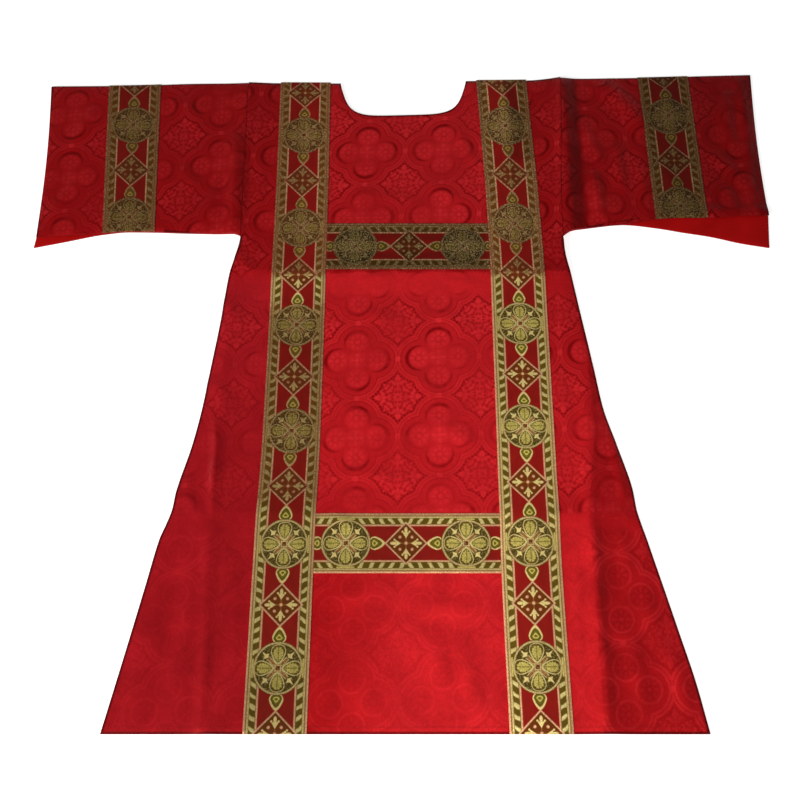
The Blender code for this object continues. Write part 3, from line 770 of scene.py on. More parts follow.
braidCloth = {
    "repeat": 2.02,  # one repeat of the figure; its sizes are in widths of the galloon
    "soft": 0.009,
    "between": (0.010, 0.150),  # where the crossbars lie, in metres: their middle and half their width
    "leftRun": -0.14,  # the vertical galloons lie outside these
    "rightRun": 0.15,
    "field": srgb(124, 22, 21),
    "earth": srgb(96, 46, 18),
    "ground": srgb(86, 68, 20),
    "moss": srgb(72, 57, 17),
    "bar": srgb(204, 184, 116),
    "olive": srgb(96, 90, 28),
    "leaf": srgb(190, 170, 86),
    "cream": srgb(224, 198, 124),
    "gold": srgb(194, 166, 106),
    "pink": srgb(210, 156, 114),
    "copper": srgb(134, 88, 46),
    # the dull copper painted over the gold where it lies in painted shade
    "wearAndShade": srgb(160, 68, 44),
    # the colour of the painted glints
    "spark": srgb(240, 222, 158),
}


def woven(colour, *runs):
    # each mask lays its own thread over the colours below
    for mask, thread in runs:
        colour = mask.paint(colour, braidCloth[thread])
    return colour


def blendNode(mask, start, end):
    return start + mask * (end - start)


def taper(along, across, inner, outer, half, sharp):
    # a leaf: below 1 inside it, blunt where along is above 0 and drawn to a point below
    beyond = along.over(0, 0.01)
    share = abs(along) / blendNode(beyond, inner, outer)
    return share ** blendNode(beyond, sharp, 2.3) + (across / half) ** blendNode(beyond, sharp + 0.2, 2.3)


borderFigure = {  # distances from the galloon's middle line, and half widths of lines
    "from": 0.31,
    "turns": 12,  # leaning bars in one repeat
    "lean": 3.4,
    "shift": 0.55,
    "bar": 0.185,  # half a bar, as a share of their spacing
    "bars": (0.324, 0.414),  # from and to
    "middle": 0.375,  # their lean is measured from here
    "innerLine": (0.299, 0.013),
    "goldLine": (0.436, 0.015),
    "copperLine": (0.459, 0.004),
    "edge": 0.466,
}


def braidBorder(a, b, wobble):
    # leaning bars between fine lines, turned about at each motif
    soft, cut = braidCloth["soft"], borderFigure
    phase = a * (cut["turns"] / braidCloth["repeat"]) + (b - cut["middle"]) * cut["lean"]
    phase = phase - cut["shift"] + wobble * 0.5
    low, high = cut["bars"]
    bars = abs(phase - phase.maths("ROUND")).under(cut["bar"], 0.08)
    bars = bars * b.over(low, soft) * b.under(high, soft)
    border = b.over(cut["from"], soft)
    innerLine, goldLine = b.line(*cut["innerLine"], soft), b.line(*cut["goldLine"], soft)
    copperLine = b.line(*cut["copperLine"], 0.005)
    edge = b.over(cut["edge"], 0.005)
    colour = woven(
        border.paint(braidCloth["field"], braidCloth["ground"]), (bars, "bar"), (innerLine, "pink"),
        (goldLine, "gold"), (copperLine, "copper"), (edge, "pink"),
    )
    return colour, border, bars.more(goldLine).more(innerLine), edge


lozengeFigure = {  # its parts are placed from its middle
    "half": 0.345,
    "rim": 0.050,
    "cup": (0.085, 0.180, 0.62),  # from, to and the slope of its side
    "tip": (0.216, 0.050, 0.026),
    "hook": (0.192, 0.058, 0.016),
    "stem": (0.12, 0.007),
    "dot": (0.104, 0.100, 0.022),
    "eye": 0.022,
}


def braidLozenge(colour, far, b):
    # a lozenge with a cross of four cups
    soft, cut = braidCloth["soft"], lozengeFigure
    lozenge = b / cut["half"] + far / cut["half"]
    inLozenge = lozenge.under(1.0, 0.03)
    rim = lozenge.line(1.0, cut["rim"], 0.03)
    cm, cn = b.more(far), b.less(far)
    start, end, slope = cut["cup"]
    cup = (cn - (cm - start) * slope).under(0, soft) * cm.under(end, soft)
    length, half = cut["stem"]
    stem = cn.under(half, soft) * cm.under(length, soft)
    dots = spot(cm, cn, *cut["dot"], soft)
    cross = cup.more(oval(cm, cn, *cut["tip"], 0.25)).more(spot(cm, cn, *cut["hook"], soft)) * inLozenge
    colour = woven(
        colour, (inLozenge, "earth"), (stem * inLozenge, "copper"),
        (dots.more(cm.under(cut["eye"], soft)), "pink"), (cross, "cream"), (rim, "pink"),
    )
    return colour, inLozenge, rim.more(cross).more(dots)


# a leaf's length where it is pointed and where it is blunt, its half width and how sharp it is
leafShapes = {
    "drop": (0.170, 0.098, 0.112, 1.30),
    "leaf": (0.190, 0.108, 0.114, 1.35),
    "blade": (0.118, 0.094, 0.078, 1.45),
}
medallionFigure = {  # its parts are placed from its middle
    "half": (0.385, 0.405),  # across and along
    "ring": (0.985, 0.034),
    "saltire": (0.21, 0.020),
    "saltireLine": (0.027, 0.006),
    "leafAt": 0.262,
    "bladeAt": 0.232,
    "frill": 150,
    "sideVein": (0.245, 0.018, 0.004),
    "sprig": ((0.292, 0.074, 0.020), (0.266, 0.036, 0.062)),
    "bracket": (0.402, 0.012),
    "eye": (0.054, 0.036),
    "dropAt": 0.490,
}


def braidDrop(colour, a, b):
    # the drops between lozenge and medallion
    drop = taper(medallionFigure["dropAt"] - a, b, *leafShapes["drop"])
    inDrop, core = drop.under(1.0, 0.10), drop.under(0.66, 0.08)
    colour = woven(
        colour, (inDrop, "cream"), (core, "ground"), (drop.under(0.42, 0.08), "olive"),
        (drop.line(0.12, 0.06, 0.04), "leaf"),
    )
    return colour, inDrop, inDrop - core


def braidMedallion(colour, a, b):
    # ring, four leaves about a saltire, and a sprig between each two
    soft, cut = braidCloth["soft"], medallionFigure
    across, along = cut["half"]
    disc = (b / across).far(a / along)
    inDisc, inside = disc.under(1.045, 0.02), disc.under(0.945, 0.02)
    ring = disc.line(*cut["ring"], 0.02)
    m, n = b.more(a), b.less(a)
    s, t = (m + n) * 0.7071, (m - n) * 0.7071  # along and across the diagonal
    length, half = cut["saltire"]
    saltire = t.under(half, soft) * s.under(length, 0.02)
    saltireLine = t.line(*cut["saltireLine"], 0.006) * s.under(length + 0.01, 0.02) * s.over(0.07, soft)
    leafShape = taper(m - cut["leafAt"], n, *leafShapes["leaf"])
    leafRim = leafShape.line(1.0, 0.12, 0.07) * inside
    frill = (m * cut["frill"]).maths("SINE") * 0.14
    inBlade = (taper(m - cut["bladeAt"], n, *leafShapes["blade"]) + frill).under(1.0, 0.12)
    at, apart, half = cut["sideVein"]
    sideVein = (abs(m - at - n * 0.8) - apart).line(0, half, 0.006) * n.under(0.05, soft)
    vein = n.under(0.008, 0.006).more(sideVein)
    petals = [(t / wide + abs(s - at) / long).under(1.0, 0.15) for at, long, wide in cut["sprig"]]
    sprig = petals[0].more(petals[1]) * leafShape.over(1.12, 0.05) * inside
    bracket = b.line(*cut["bracket"], soft) * a.under(0.15, soft)
    boss, eye = cut["eye"]
    colour = woven(
        colour, (inDisc, "moss"), (saltire, "copper"), (saltireLine, "gold"),
        (leafShape.under(1.0, 0.06) * inside, "ground"), (leafRim, "bar"), (inBlade, "leaf"),
        (vein * inBlade * 0.85, "olive"), (sprig, "cream"), (ring, "gold"), (bracket, "leaf"),
        (m.under(boss, soft), "gold"), (m.under(eye, soft), "earth"),
    )
    return colour, inDisc, ring.more(leafRim).more(inBlade).more(sprig).more(bracket)


def braidFinish():
    cut = braidCloth
    finish, surface, start = newFinish(
        "gold galloon", Specular_IOR_Level=0.2, Specular_Tint=srgb(255, 220, 160)
    )
    where, (u, v) = mapUv(start, "braid")
    wobble = noise(where, 9.0, 2.0) - 0.5
    b = abs(u)
    a = abs(v - v.maths("ROUND")) * cut["repeat"]
    colour, border, lines, edge = braidBorder(a, b, wobble)
    colour, inLozenge, figured = braidLozenge(colour, cut["repeat"] / 2 - a, b)
    colour, inDrop, dropRim = braidDrop(colour, a, b)
    colour, inDisc, worked = braidMedallion(colour, a, b)
    # what is worked in metal thread stands up a little and shines
    loose = (1 - inDisc) * (1 - inDrop)
    metal = worked.more(dropRim).more(lines.more(figured) * loose).more(edge)
    # thread, and painted light and shade for the lie of each run to the light
    x, height = acrossAndUp(start)
    leftRun, rightRun = x.under(cut["leftRun"], 0.01), x.over(cut["rightRun"], 0.01)
    middle, half = cut["between"]
    crossbars = x.line(middle, half, 0.004)
    # painted shade: above the upper fold, and on a stretch of the left run, the gold's figure is painted
    # darker and more coppery
    dull = height.over(body["upperFold"] - 0.012, 0.008)
    dull = dull.more(height.line(0.56, 0.19, 0.010) * leftRun * 0.6)
    dulled = dull * (1 - (1 - border) * (1 - inLozenge) * loose)
    grain, twill, crinkle = (threads(where, *size) for size in ((40, 420), (300, 60), (36, 72)))
    thread = metal * (1 - inDisc * 0.55)
    # painted glints: bright specks of painted highlight on the metal thread, stronger in the dull zone
    glint = crinkle.over(0.57, 0.05) * (inDisc * 0.75).more(metal)
    glint = glint * (0.20 + dull * (0.26 + crossbars * 0.30 - leftRun * 0.18))
    colour = woven(colour, (dulled * (0.26 + thread * 0.34 - crossbars * 0.10), "wearAndShade"), (glint, "spark"))
    value = (0.84 + grain * 0.26 + twill * 0.14) * paintedLightOf(x, height, braidPaintedLights)
    # painted light and shade: the dull zone darker, the middle of the upper crossbar lighter, and medallions
    # on the lower right run a little darker
    dimmed = 0.30 + inDisc * 0.09 + inLozenge * 0.05 + crossbars * 0.10
    value = value * (1 - dulled * dimmed) * (1 + wobble * 0.5)
    value = value * (1 + dull * crossbars * (b.under(0.13, 0.05) * 0.28 - 0.06))
    value = value * (1 - inDisc * rightRun * height.under(0.45, 0.05) * 0.08)
    # dark specks among the painted glints
    value = value * (1 - crinkle.under(0.45, 0.05) * (inDisc * 0.8).more(metal) * (0.20 + dull * 0.26))
    bumped = (metal + (grain + twill) * 0.3).raised(0.5, 0.0004)
    feed(
        surface, start, Base_Color=colour.times(value), Metallic=metal * 0.40,
        Roughness=0.62 - metal * 0.22, Normal=bumped,
    )
    return finish


braidPaintedLights = (  # painted light and shade: how brightly the galloons are painted in each zone, in the same columns as paintedLights
    (-0.800, -0.300, 0.810, 1.400, 0.0100, 0.86),
    (0.400, 0.800, 0.810, 1.400, 0.0100, 0.60),
    (-0.300, -0.140, 0.810, 1.400, 0.0060, 1.12),
    (-0.190, -0.140, 0.810, 1.400, 0.0060, 1.14),
    (-0.300, -0.140, 0.725, 0.812, 0.0060, 1.24),
    (-0.300, -0.140, -0.10, 0.760, 0.0060, 0.94),
    (-0.300, -0.140, -0.10, 0.120, 0.0500, 0.82),
    (0.160, 0.300, 0.812, 1.400, 0.0060, 1.38),
    (0.205, 0.300, 1.060, 1.400, 0.0080, 0.64),
    (0.209, 0.300, 0.812, 1.060, 0.0060, 0.86),
    (0.160, 0.300, -0.10, 0.812, 0.0060, 1.38),
    (0.160, 0.300, -0.10, 0.550, 0.0200, 1.08),
    (0.213, 0.300, -0.10, 0.360, 0.0100, 0.90),
    (-0.140, 0.160, 0.800, 0.905, 0.0040, 0.82),
    (-0.140, 0.160, 0.800, 0.838, 0.0040, 0.92),
    (-0.140, 0.160, 0.200, 0.400, 0.0040, 1.04),
    (0.030, 0.160, 0.200, 0.400, 0.0500, 1.20),
)


def threadFinish(name, colour):
    finish, surface, start = newFinish(name, Specular_IOR_Level=0.3)
    twist = noise(start.node("TexCoord", out=3), 900.0, 1.0)
    shade = twist.paint(tuple(c * 0.75 for c in colour[:3]) + (1.0,), colour)
    feed(surface, start, Base_Color=shade, Roughness=0.45 + twist * 0.25)
    return finish


damask, lining, braid = damaskFinish(), liningFinish(), braidFinish()
goldThread = threadFinish("galloon thread", srgb(176, 132, 82))
redThread = threadFinish("hem thread", srgb(150, 10, 18))
# painted shade: a dark red laid on the cloth's edge walls, where the rolled edge falls into shade
edgeShadeFinish = threadFinish("painted edge shade", srgb(72, 8, 13))
print("materials made")

galloon = {
    "width": 0.100,
    "wall": 0.0010,
    "low": 0.0006,  # height of a turned end above the floor
    "endRows": 4,
    "endTurn": 0.05,  # share of a medallion's spacing that a turned end takes up
    "crossing": 0.2,  # one repeat along a crossbar
    "middles": (
        ("height", "left", "right"),
        (0.000, -0.1985, 0.2170),
        (0.290, -0.1960, 0.2135),
        (0.500, -0.1915, 0.2140),
        (0.760, -0.1905, 0.2140),
        (0.990, -0.1905, 0.2105),
        (1.088, -0.1910, 0.2060),
        (1.260, -0.1925, 0.1995),
    ),
    "medallions": (  # how many medallions' middles lie below a height, from the lowest one
        ("height", "left", "right"),
        (-0.100, -1.000, -1.000),
        (0.1000, 0.000, -0.010),
        (0.3010, 1.000, 0.980),
        (0.5020, 2.000, 1.955),
        (0.7060, 3.000, 2.985),
        (0.9090, 4.000, 3.955),
        (1.1190, 5.000, 4.905),
        (1.3200, 6.000, 5.810),
    ),
}
bandMiddle = {side: track(galloon["middles"], side) for side in ("left", "right")}
bandTurn = {side: track(galloon["medallions"], side) for side in ("left", "right")}

panel = {  # cells across each stretch of a panel, from its left edge to its right edge
    "side": 24,
    "strip": 9,
    "band": 16,
    "middle": 50,
    "yokeRows": 34,
    "neckSkip": 4,  # columns of the middle stretch on each side that end on the shoulder
    "edgeRows": 2,  # the front's shoulder edge turns down to the back
    "edgeLevel": 0.8,  # in walls of cloth
    "edgeOut": 0.0006,
    "hem": 0.0005,  # step of the hem, which is turned up once inside
    "hemFades": (0.011, 0.015),
}


def spread(start, end, count):
    # points after the start, up to the end
    return [blend(start, end, (k + 1) / count) for k in range(count)]


def columnsAt(height):
    half = galloon["width"] / 2
    bandLeft, bandRight = bandMiddle["left"](height), bandMiddle["right"](height)
    stops = (
        (leftFold(height), panel["side"]),
        (bandLeft - half, panel["strip"]),
        (bandLeft + half, panel["band"]),
        (bandRight - half, panel["middle"]),
        (bandRight + half, panel["band"]),
        (rightFold(height), panel["strip"]),
        (rightEdge(height), panel["side"]),
    )
    across = [leftEdge(height)]
    for stop, count in stops:
        across += spread(across[-1], stop, count)
    return across


leftBand = (panel["side"] + panel["strip"], panel["side"] + panel["strip"] + panel["band"])
rightBand = (leftBand[1] + panel["middle"], leftBand[1] + panel["middle"] + panel["band"])
neckFirst = leftBand[1] + panel["neckSkip"]
neckLast = rightBand[0] - panel["neckSkip"]


def neckPoint(share):
    turn = pi * share
    depth = sin(turn) ** (2 / neck["squareness"])
    side = copysign(abs(cos(turn)) ** (2 / neck["squareness"]), share - 0.5)
    half = (neck["right"] - neck["left"]) / 2 * (1 - neck["taper"] * depth)
    x = (neck["left"] + neck["right"]) / 2 + half * side
    return x, shoulder(x) - neck["depth"] * depth


def evenly(points, count):
    # count points at even spacing along a line of close points
    run = [0]
    for one, other in zip(points, points[1:]):
        run.append(run[-1] + hypot(other[0] - one[0], other[1] - one[1]))
    chosen = []
    for k in range(count):
        want = run[-1] * k / (count - 1)
        i = min(max(bisect_right(run, want) - 1, 0), len(run) - 2)
        share = (want - run[i]) / (run[i + 1] - run[i])
        chosen.append(tuple(blend(p, q, share) for p, q in zip(points[i], points[i + 1])))
    return chosen


neckLine = evenly(
    [neckPoint(k / neck["points"]) for k in range(neck["points"] + 1)], neckLast - neckFirst + 1
)


def rowHeights():
    # even rows up to the yoke, drawn to the crests of the folds and the edges of the crossbars
    stops = (0, body["lowerFold"] - galloon["width"], body["lowerFold"], body["upperFold"],
             body["upperFold"] + galloon["width"], body["yoke"])
    rows = [0]
    for start, end in zip(stops, stops[1:]):
        rows += spread(start, end, round((end - start) / body["cell"]))
    return rows


lowRows = rowHeights()
rowColumns = [columnsAt(height) for height in lowRows]
topColumns = columnsAt(body["length"])
rowCount = len(lowRows) + panel["yokeRows"]


def bodyPlan(i, j):
    # where column i of a panel crosses its row j: across, and up from the hem
    if j < len(lowRows):
        return rowColumns[j][i], lowRows[j]
    topX = topColumns[i]
    top = shoulder(topX)
    if neckFirst <= i <= neckLast:
        topX, top = neckLine[i - neckFirst]
    share = (j - len(lowRows) + 1) / panel["yokeRows"]
    return blend(rowColumns[-1][i], topX, share), blend(lowRows[-1], top, share)


weaveLie = {
    "straight": 0.60,  # above this height its columns lean out
    "bend": 0.06,
    "spread": 0.033,
    "climb": 0.043,  # how its rows climb to the right
}


def weaveAt(x, height):
    above = max(height - weaveLie["straight"], 0)
    leaning = (x - weaveLie["bend"] * above**2) / (1 + weaveLie["spread"] * above)
    return leaning, height - weaveLie["climb"] * x


def bandAt(side, i, first, height):
    return (i - first) / panel["band"] - 0.5, bandTurn[side](height)


sleeveCloth = {  # a sleeve is a wall folded along its top, given by its inner face
    "lining": 0.0013,  # the lining's wall and the gap above it
    "liningWall": 0.0010,
    "front": 0.0031,  # level of the inner face of the front half
    "lean": 0.0004,  # room for the underside's edge, which leans towards the body
    "frontRows": 56,
    "turn": (75, 50, 25, 0, -25, -50, -75),  # degrees round the folded edge
    "backRows": 44,
    "bandRows": 61,  # those of the front and of most of the turn
}


def overLining(x, height):
    # the front climbs to meet the lined sleeves at its seams
    fromSeam = min(x - leftFold(height), rightFold(height) - x)
    beside = 1 - min(max(fromSeam / body["sideReach"], 0), 1)
    above = min(max((height - body["upperFold"]) / (body["armpit"] - body["upperFold"]), 0), 1)
    return sleeveCloth["lining"] * beside * above


def frontLevel(x, height):
    return body["wall"] + body["gap"] + overLining(x, height)


def turnedHem(height):
    return panel["hem"] * (1 - smooth(height, *panel["hemFades"]))


def braidLevel(x, height):
    return frontLevel(x, height) + turnedHem(height) + body["wall"] + body["gap"]


def frontPanel():
    def place(i, j):
        x, height = bodyPlan(i, min(j, rowCount - 1))
        level = frontLevel(x, height) + turnedHem(height)
        if j >= rowCount and not neckFirst < i < neckLast:
            drop = (j - rowCount + 1) / panel["edgeRows"]
            level = blend(level, body["wall"] * panel["edgeLevel"], drop)
            height += panel["edgeOut"] * drop
        return laid(x, height, level), weaveAt(x, height), (0, 0)

    rows = rowCount + panel["edgeRows"]
    made = clothSheet("front", len(topColumns), rows, place, body["wall"], (damask, edgeShadeFinish))
    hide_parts("front_panel")
    return made


def backPanel():
    # its underside carries the galloons' back runs, woven flat: they come over the shoulders
    def place(i, j):
        x, height = bodyPlan(i, j)
        band = (0, 0)
        for side, (first, last) in (("left", leftBand), ("right", rightBand)):
            if first <= i <= last:
                band = bandAt(side, i, first, height)
        return laid(x, height, 0, creases["under"]), weaveAt(x, height), band

    def paint(i, j):
        return int(leftBand[0] <= i < leftBand[1] or rightBand[0] <= i < rightBand[1])

    finishes = (damask, damask, braid, edgeShadeFinish)
    made = clothSheet("back", len(topColumns), rowCount, place, body["wall"], finishes, paint)
    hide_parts("back_panel")
    return made


front, back = frontPanel(), backPanel()
print("panels made")


def verticalGalloon(name, side, band, node):
    def place(i, j):
        x, height = bodyPlan(band[0] + i, min(j, rowCount - 1))
        level = braidLevel(x, height)
        turn = bandTurn[side](height)
        if j >= rowCount:
            # its end turns down behind the shoulder
            share = (j - rowCount) / (galloon["endRows"] - 1)
            height += body["gap"] + body["wall"]
            turn += share * galloon["endTurn"]
            level = blend(level - body["gap"], galloon["low"], share)
        return laid(x, height, level), (x, height), (i / panel["band"] - 0.5, turn)

    rows = rowCount + galloon["endRows"]
    made = clothSheet(name, panel["band"] + 1, rows, place, galloon["wall"], (braid,))
    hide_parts(node)
    return made


def crossGalloon(name, low, middle, node):
    # middle is where the middle of its figure lies across the garment
    high = low + galloon["width"]
    first, last = (min(range(len(lowRows)), key=lambda k: abs(lowRows[k] - at)) for at in (low, high))
    leftEnd, rightEnd = leftBand[1], rightBand[0]

    def place(i, j):
        x, height = bodyPlan(leftEnd + i, first + j)
        x += {leftEnd: body["gap"], rightEnd: -body["gap"]}.get(leftEnd + i, 0)
        repeat = (height - low) / (high - low) - 0.5, (x - middle) / galloon["crossing"] + 0.5
        return laid(x, height, braidLevel(x, height)), (x, height), repeat

    columns, rows = rightEnd - leftEnd + 1, last - first + 1
    made = clothSheet(name, columns, rows, place, galloon["wall"], (braid,))
    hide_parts(node)
    return made


galloonLeft = verticalGalloon("galloonLeft", "left", leftBand, "galloon_left")
galloonRight = verticalGalloon("galloonRight", "right", rightBand, "galloon_right")
crossUpper = crossGalloon("crossbarUpper", body["upperFold"], 0.0133, "crossbar_upper")
crossLower = crossGalloon("crossbarLower", body["lowerFold"] - galloon["width"], 0.0065, "crossbar_lower")
print("galloons laid on the front")

sleeveLeft = {
    "side": "left",
    "stations": (
        ("topX", "lowX", "frontLow", "backX", "backLow", "bow"),
        (-0.7015, -0.6865, 0.8900, -0.6885, 0.8680, 0.0050),
        (-0.6450, -0.6300, 0.8940, -0.6310, 0.8810, 0.0020),
        (-0.5855, -0.5625, 0.8980, -0.5625, 0.8965, 0.0),
        (-0.5335, -0.5135, 0.9020, -0.5135, 0.9020, 0.0),
        (-0.4815, -0.4645, 0.9015, -0.4645, 0.9015, 0.0),
        (-0.4200, -0.4120, 0.8995, -0.4120, 0.8995, 0.0),
        (-0.3620, -0.3560, 0.8980, -0.3560, 0.8980, 0.0),
        (-0.3400, -0.3350, 0.8975, -0.3350, 0.8975, 0.0),
        (-0.3190, -0.3150, 0.8965, -0.3150, 0.8965, 0.0),
        (-0.3065, -0.3025, 0.8910, -0.3025, 0.8910, 0.0),
    ),
    "cells": ((-0.7015, 0), (-0.5855, 18), (-0.4815, 16), (-0.3065, 27)),
    "band": (18, 34),
    "seam": 61,
    "weave": (-0.352, 1.050, 0.104, -0.030),  # a quatrefoil's middle, the climb of rows and lean of columns
    "medallion": (1.142, 0.210),  # a medallion's height, and one repeat
}
sleeveRight = {
    "side": "right",
    "stations": (
        ("topX", "lowX", "frontLow", "backX", "backLow", "bow"),
        (0.3185, 0.3025, 0.8890, 0.3025, 0.8890, 0.0),
        (0.3310, 0.3165, 0.9010, 0.3165, 0.9010, 0.0),
        (0.3520, 0.3375, 0.9075, 0.3375, 0.9075, 0.0),
        (0.3760, 0.3620, 0.9120, 0.3620, 0.9120, 0.0),
        (0.4230, 0.4180, 0.9180, 0.4180, 0.9180, 0.0),
        (0.4735, 0.4795, 0.9290, 0.4795, 0.9110, 0.0),
        (0.5240, 0.5290, 0.9310, 0.5290, 0.9015, 0.0),
        (0.5745, 0.5785, 0.9310, 0.5785, 0.8925, 0.0),
        (0.6400, 0.6400, 0.9345, 0.6370, 0.8775, -0.0020),
        (0.7015, 0.6945, 0.9360, 0.6875, 0.8680, -0.0045),
    ),
    "cells": ((0.3185, 0), (0.4735, 24), (0.5745, 16), (0.7015, 20)),
    "band": (24, 40),
    "seam": 0,
    "weave": (0.364, 1.108, 0.045, -0.027),
    "medallion": (1.1615, 0.2055),
}


def sleeveTools(cut):
    # the columns and rows of a sleeve, and functions that give its points and its patterns' places
    cloth = sleeveCloth
    tops = [cut["cells"][0][0]]
    for stop, count in cut["cells"][1:]:
        tops += spread(tops[-1], stop, count)
    lines = {name: track(cut["stations"], name) for name in cut["stations"][0][1:]}
    seamLine = leftFold if cut["side"] == "left" else rightFold
    radius = (cloth["front"] - body["wall"]) / 2
    middle = (cloth["front"] + body["wall"]) / 2
    turnStart = cloth["frontRows"]
    backStart = turnStart + len(cloth["turn"])
    homeX, homeHeight, climb, lean = cut["weave"]
    lattice = damaskCloth["start"]

    def onSeam(i, x, height, gap):
        return seamLine(height) + copysign(gap, x) if i == cut["seam"] else x

    def point(i, k, out):
        # point k round column i, moved out from the wall's inner face, with its length round the section
        top = tops[i]
        lowX, frontLow, backX, backLow, bow = (
            lines[name](top) for name in ("lowX", "frontLow", "backX", "backLow", "bow")
        )
        turnHeight = shoulder(top) - body["wall"] - radius
        topX = onSeam(i, top, turnHeight, body["gap"])
        frontSide = k < turnStart
        gap = body["gap"] if frontSide else body["gap"] + cloth["lean"]
        if turnStart <= k < backStart:
            tilt = radians(cloth["turn"][k - turnStart])
            reach = radius + out
            height = turnHeight + reach * cos(tilt)
            share = blend(creases["under"], 1, (sin(tilt) + 1) / 2)
            where = laid(topX, height, middle + reach * sin(tilt), share)
            return where, topX, turnHeight + radius * (pi / 2 - tilt)
        if frontSide:
            share = k / (turnStart - 1)
            height = blend(frontLow, turnHeight, share)
            x = onSeam(i, blend(lowX, topX, share), height, gap) + bow * sin(pi * share)
            return laid(x, height, cloth["front"] + out), x, height
        # down the back, past the front's lower edge to its own
        height = blend(turnHeight, backLow, (k - backStart) / (cloth["backRows"] - 1))
        if height < frontLow - clothEdge["weld"] / 2:
            x = onSeam(i, blend(backX, lowX, (height - backLow) / (frontLow - backLow)), height, gap)
        else:
            share = (height - frontLow) / (turnHeight - frontLow)
            x = onSeam(i, blend(lowX, topX, share), height, gap) + bow * sin(pi * share)
        run = 2 * turnHeight + pi * radius - height
        return laid(x, height, body["wall"] - out, creases["under"]), x, run

    def onWeave(x, run):
        side, up = x - homeX, run - homeHeight
        return lattice[0] + side - lean * up, lattice[1] + up - climb * side

    def onBand(i, run):
        first, last = cut["band"]
        start, repeat = cut["medallion"]
        return (i - first) / (last - first) - 0.5, (run - start) / repeat

    return {
        "columns": len(tops),
        "backStart": backStart,
        "point": point,
        "onWeave": onWeave,
        "onBand": onBand,
    }


def makeSleeve(cut, tools):
    point, backStart = tools["point"], tools["backStart"]
    side = cut["side"]
    first, last = cut["band"]

    def place(i, k):
        where, x, run = point(i, k, 0)
        return where, tools["onWeave"](x, run), tools["onBand"](i, run)

    def placeLining(i, j):
        where, x, run = point(i, backStart + j, -sleeveCloth["lining"])
        return where, (x, run), (0, 0)

    def placeBand(i, k):
        where, x, run = point(first + i, k, body["wall"] + body["gap"])
        return where, (x, run), tools["onBand"](first + i, run)

    def paint(i, k):
        # the underside carries the galloon's back run
        return 2 if first <= i < last and k >= backStart else 0

    cloth = clothSheet(
        "sleeve" + side.capitalize(), tools["columns"], backStart + sleeveCloth["backRows"], place,
        body["wall"], (damask, lining, braid, lining, edgeShadeFinish), paint,
    )
    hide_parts("sleeve_" + side)
    inner = clothSheet(
        "lining" + side.capitalize(), tools["columns"], sleeveCloth["backRows"], placeLining,
        sleeveCloth["liningWall"], (lining,),
    )
    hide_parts("lining_sleeve_" + side)
    band = clothSheet(
        "bandSleeve" + side.capitalize(), last - first + 1, sleeveCloth["bandRows"], placeBand,
        galloon["wall"], (braid,),
    )
    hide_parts("band_sleeve_" + side)
    return cloth, inner, band


leftTools, rightTools = sleeveTools(sleeveLeft), sleeveTools(sleeveRight)
leftPieces, rightPieces = makeSleeve(sleeveLeft, leftTools), makeSleeve(sleeveRight, rightTools)
print("sleeves, linings and their galloons made")

# short stitches, half sunk in what they hold
stitching = {
    "length": 0.0030,
    "pitch": 0.0048,
    "radius": 0.00032,
    "inset": 0.0028,  # from a galloon's edge
    "hem": 0.0105,
    "neck": 0.007,
    "cuff": 0.62,  # share of two columns of a sleeve
    "clear": 0.002,  # left free at the ends of a row
    "ends": 0.003,  # the same at the hem, the shoulders and the sides
    "top": 1.25,  # where the galloons cross the shoulders
    "neckPoints": (12, 389, 400),  # first and last of so many points round the neck
    "neckCentre": 0.02,  # above the shoulders
    "step": 0.0012,  # between the points of a row before its stitches are spaced
    "parts": 5,
}


def stitchRow(work, line):
    # line is a close run of points on the cloth
    run, spaced = 0, [line[0]]
    for one, other in zip(line, line[1:]):
        one, other = Vector(one), Vector(other)
        run += (other - one).length
        if run >= stitching["pitch"]:
            spaced.append(tuple(other))
            run = 0
    for one, other in zip(spaced, spaced[1:]):
        one, other = Vector(one), Vector(other)
        way = (other - one).normalized()
        turn = way.to_track_quat("Z", "Y").to_matrix().to_4x4()
        bmesh.ops.create_cone(
            work, cap_ends=True, segments=5, radius1=stitching["radius"], radius2=stitching["radius"],
            depth=stitching["length"], matrix=Matrix.Translation((one + other) / 2) @ turn,
        )


def stitchPiece(name, lines, finish):
    work = bmesh.new()
    for line in lines:
        stitchRow(work, line)
    for face in work.faces:
        face.smooth = len(face.verts) == 4
    mesh = bpy.data.meshes.new(name)
    work.to_mesh(mesh)
    work.free()
    return addPiece(name, mesh, (finish,))


def pointsFrom(start, end):
    count = max(round(abs(end - start) / stitching["step"]), 2)
    return [blend(start, end, k / count) for k in range(count + 1)]


def finer(points):
    parts = stitching["parts"]
    return [
        tuple(one.lerp(other, k / parts)) for one, other in zip(points, points[1:]) for k in range(parts)
    ]


def onBraid(x, height):
    return laid(x, height, braidLevel(x, height) + galloon["wall"])


def onFront(x, height):
    return laid(x, height, frontLevel(x, height) + turnedHem(height) + body["wall"])


def galloonSeams():
    half = galloon["width"] / 2
    inset, clear, ends = (stitching[name] for name in ("inset", "clear", "ends"))
    lines = []
    for side in ("left", "right"):
        for offset in (inset - half, half - inset):
            top = shoulder(bandMiddle[side](stitching["top"]) + offset) - ends
            lines.append([onBraid(bandMiddle[side](h) + offset, h) for h in pointsFrom(ends, top)])
    for low in (body["upperFold"], body["lowerFold"] - galloon["width"]):
        for height in (low + inset, low + galloon["width"] - inset):
            start = bandMiddle["left"](height) + half + clear
            end = bandMiddle["right"](height) - half - clear
            lines.append([onBraid(x, height) for x in pointsFrom(start, end)])
    return lines


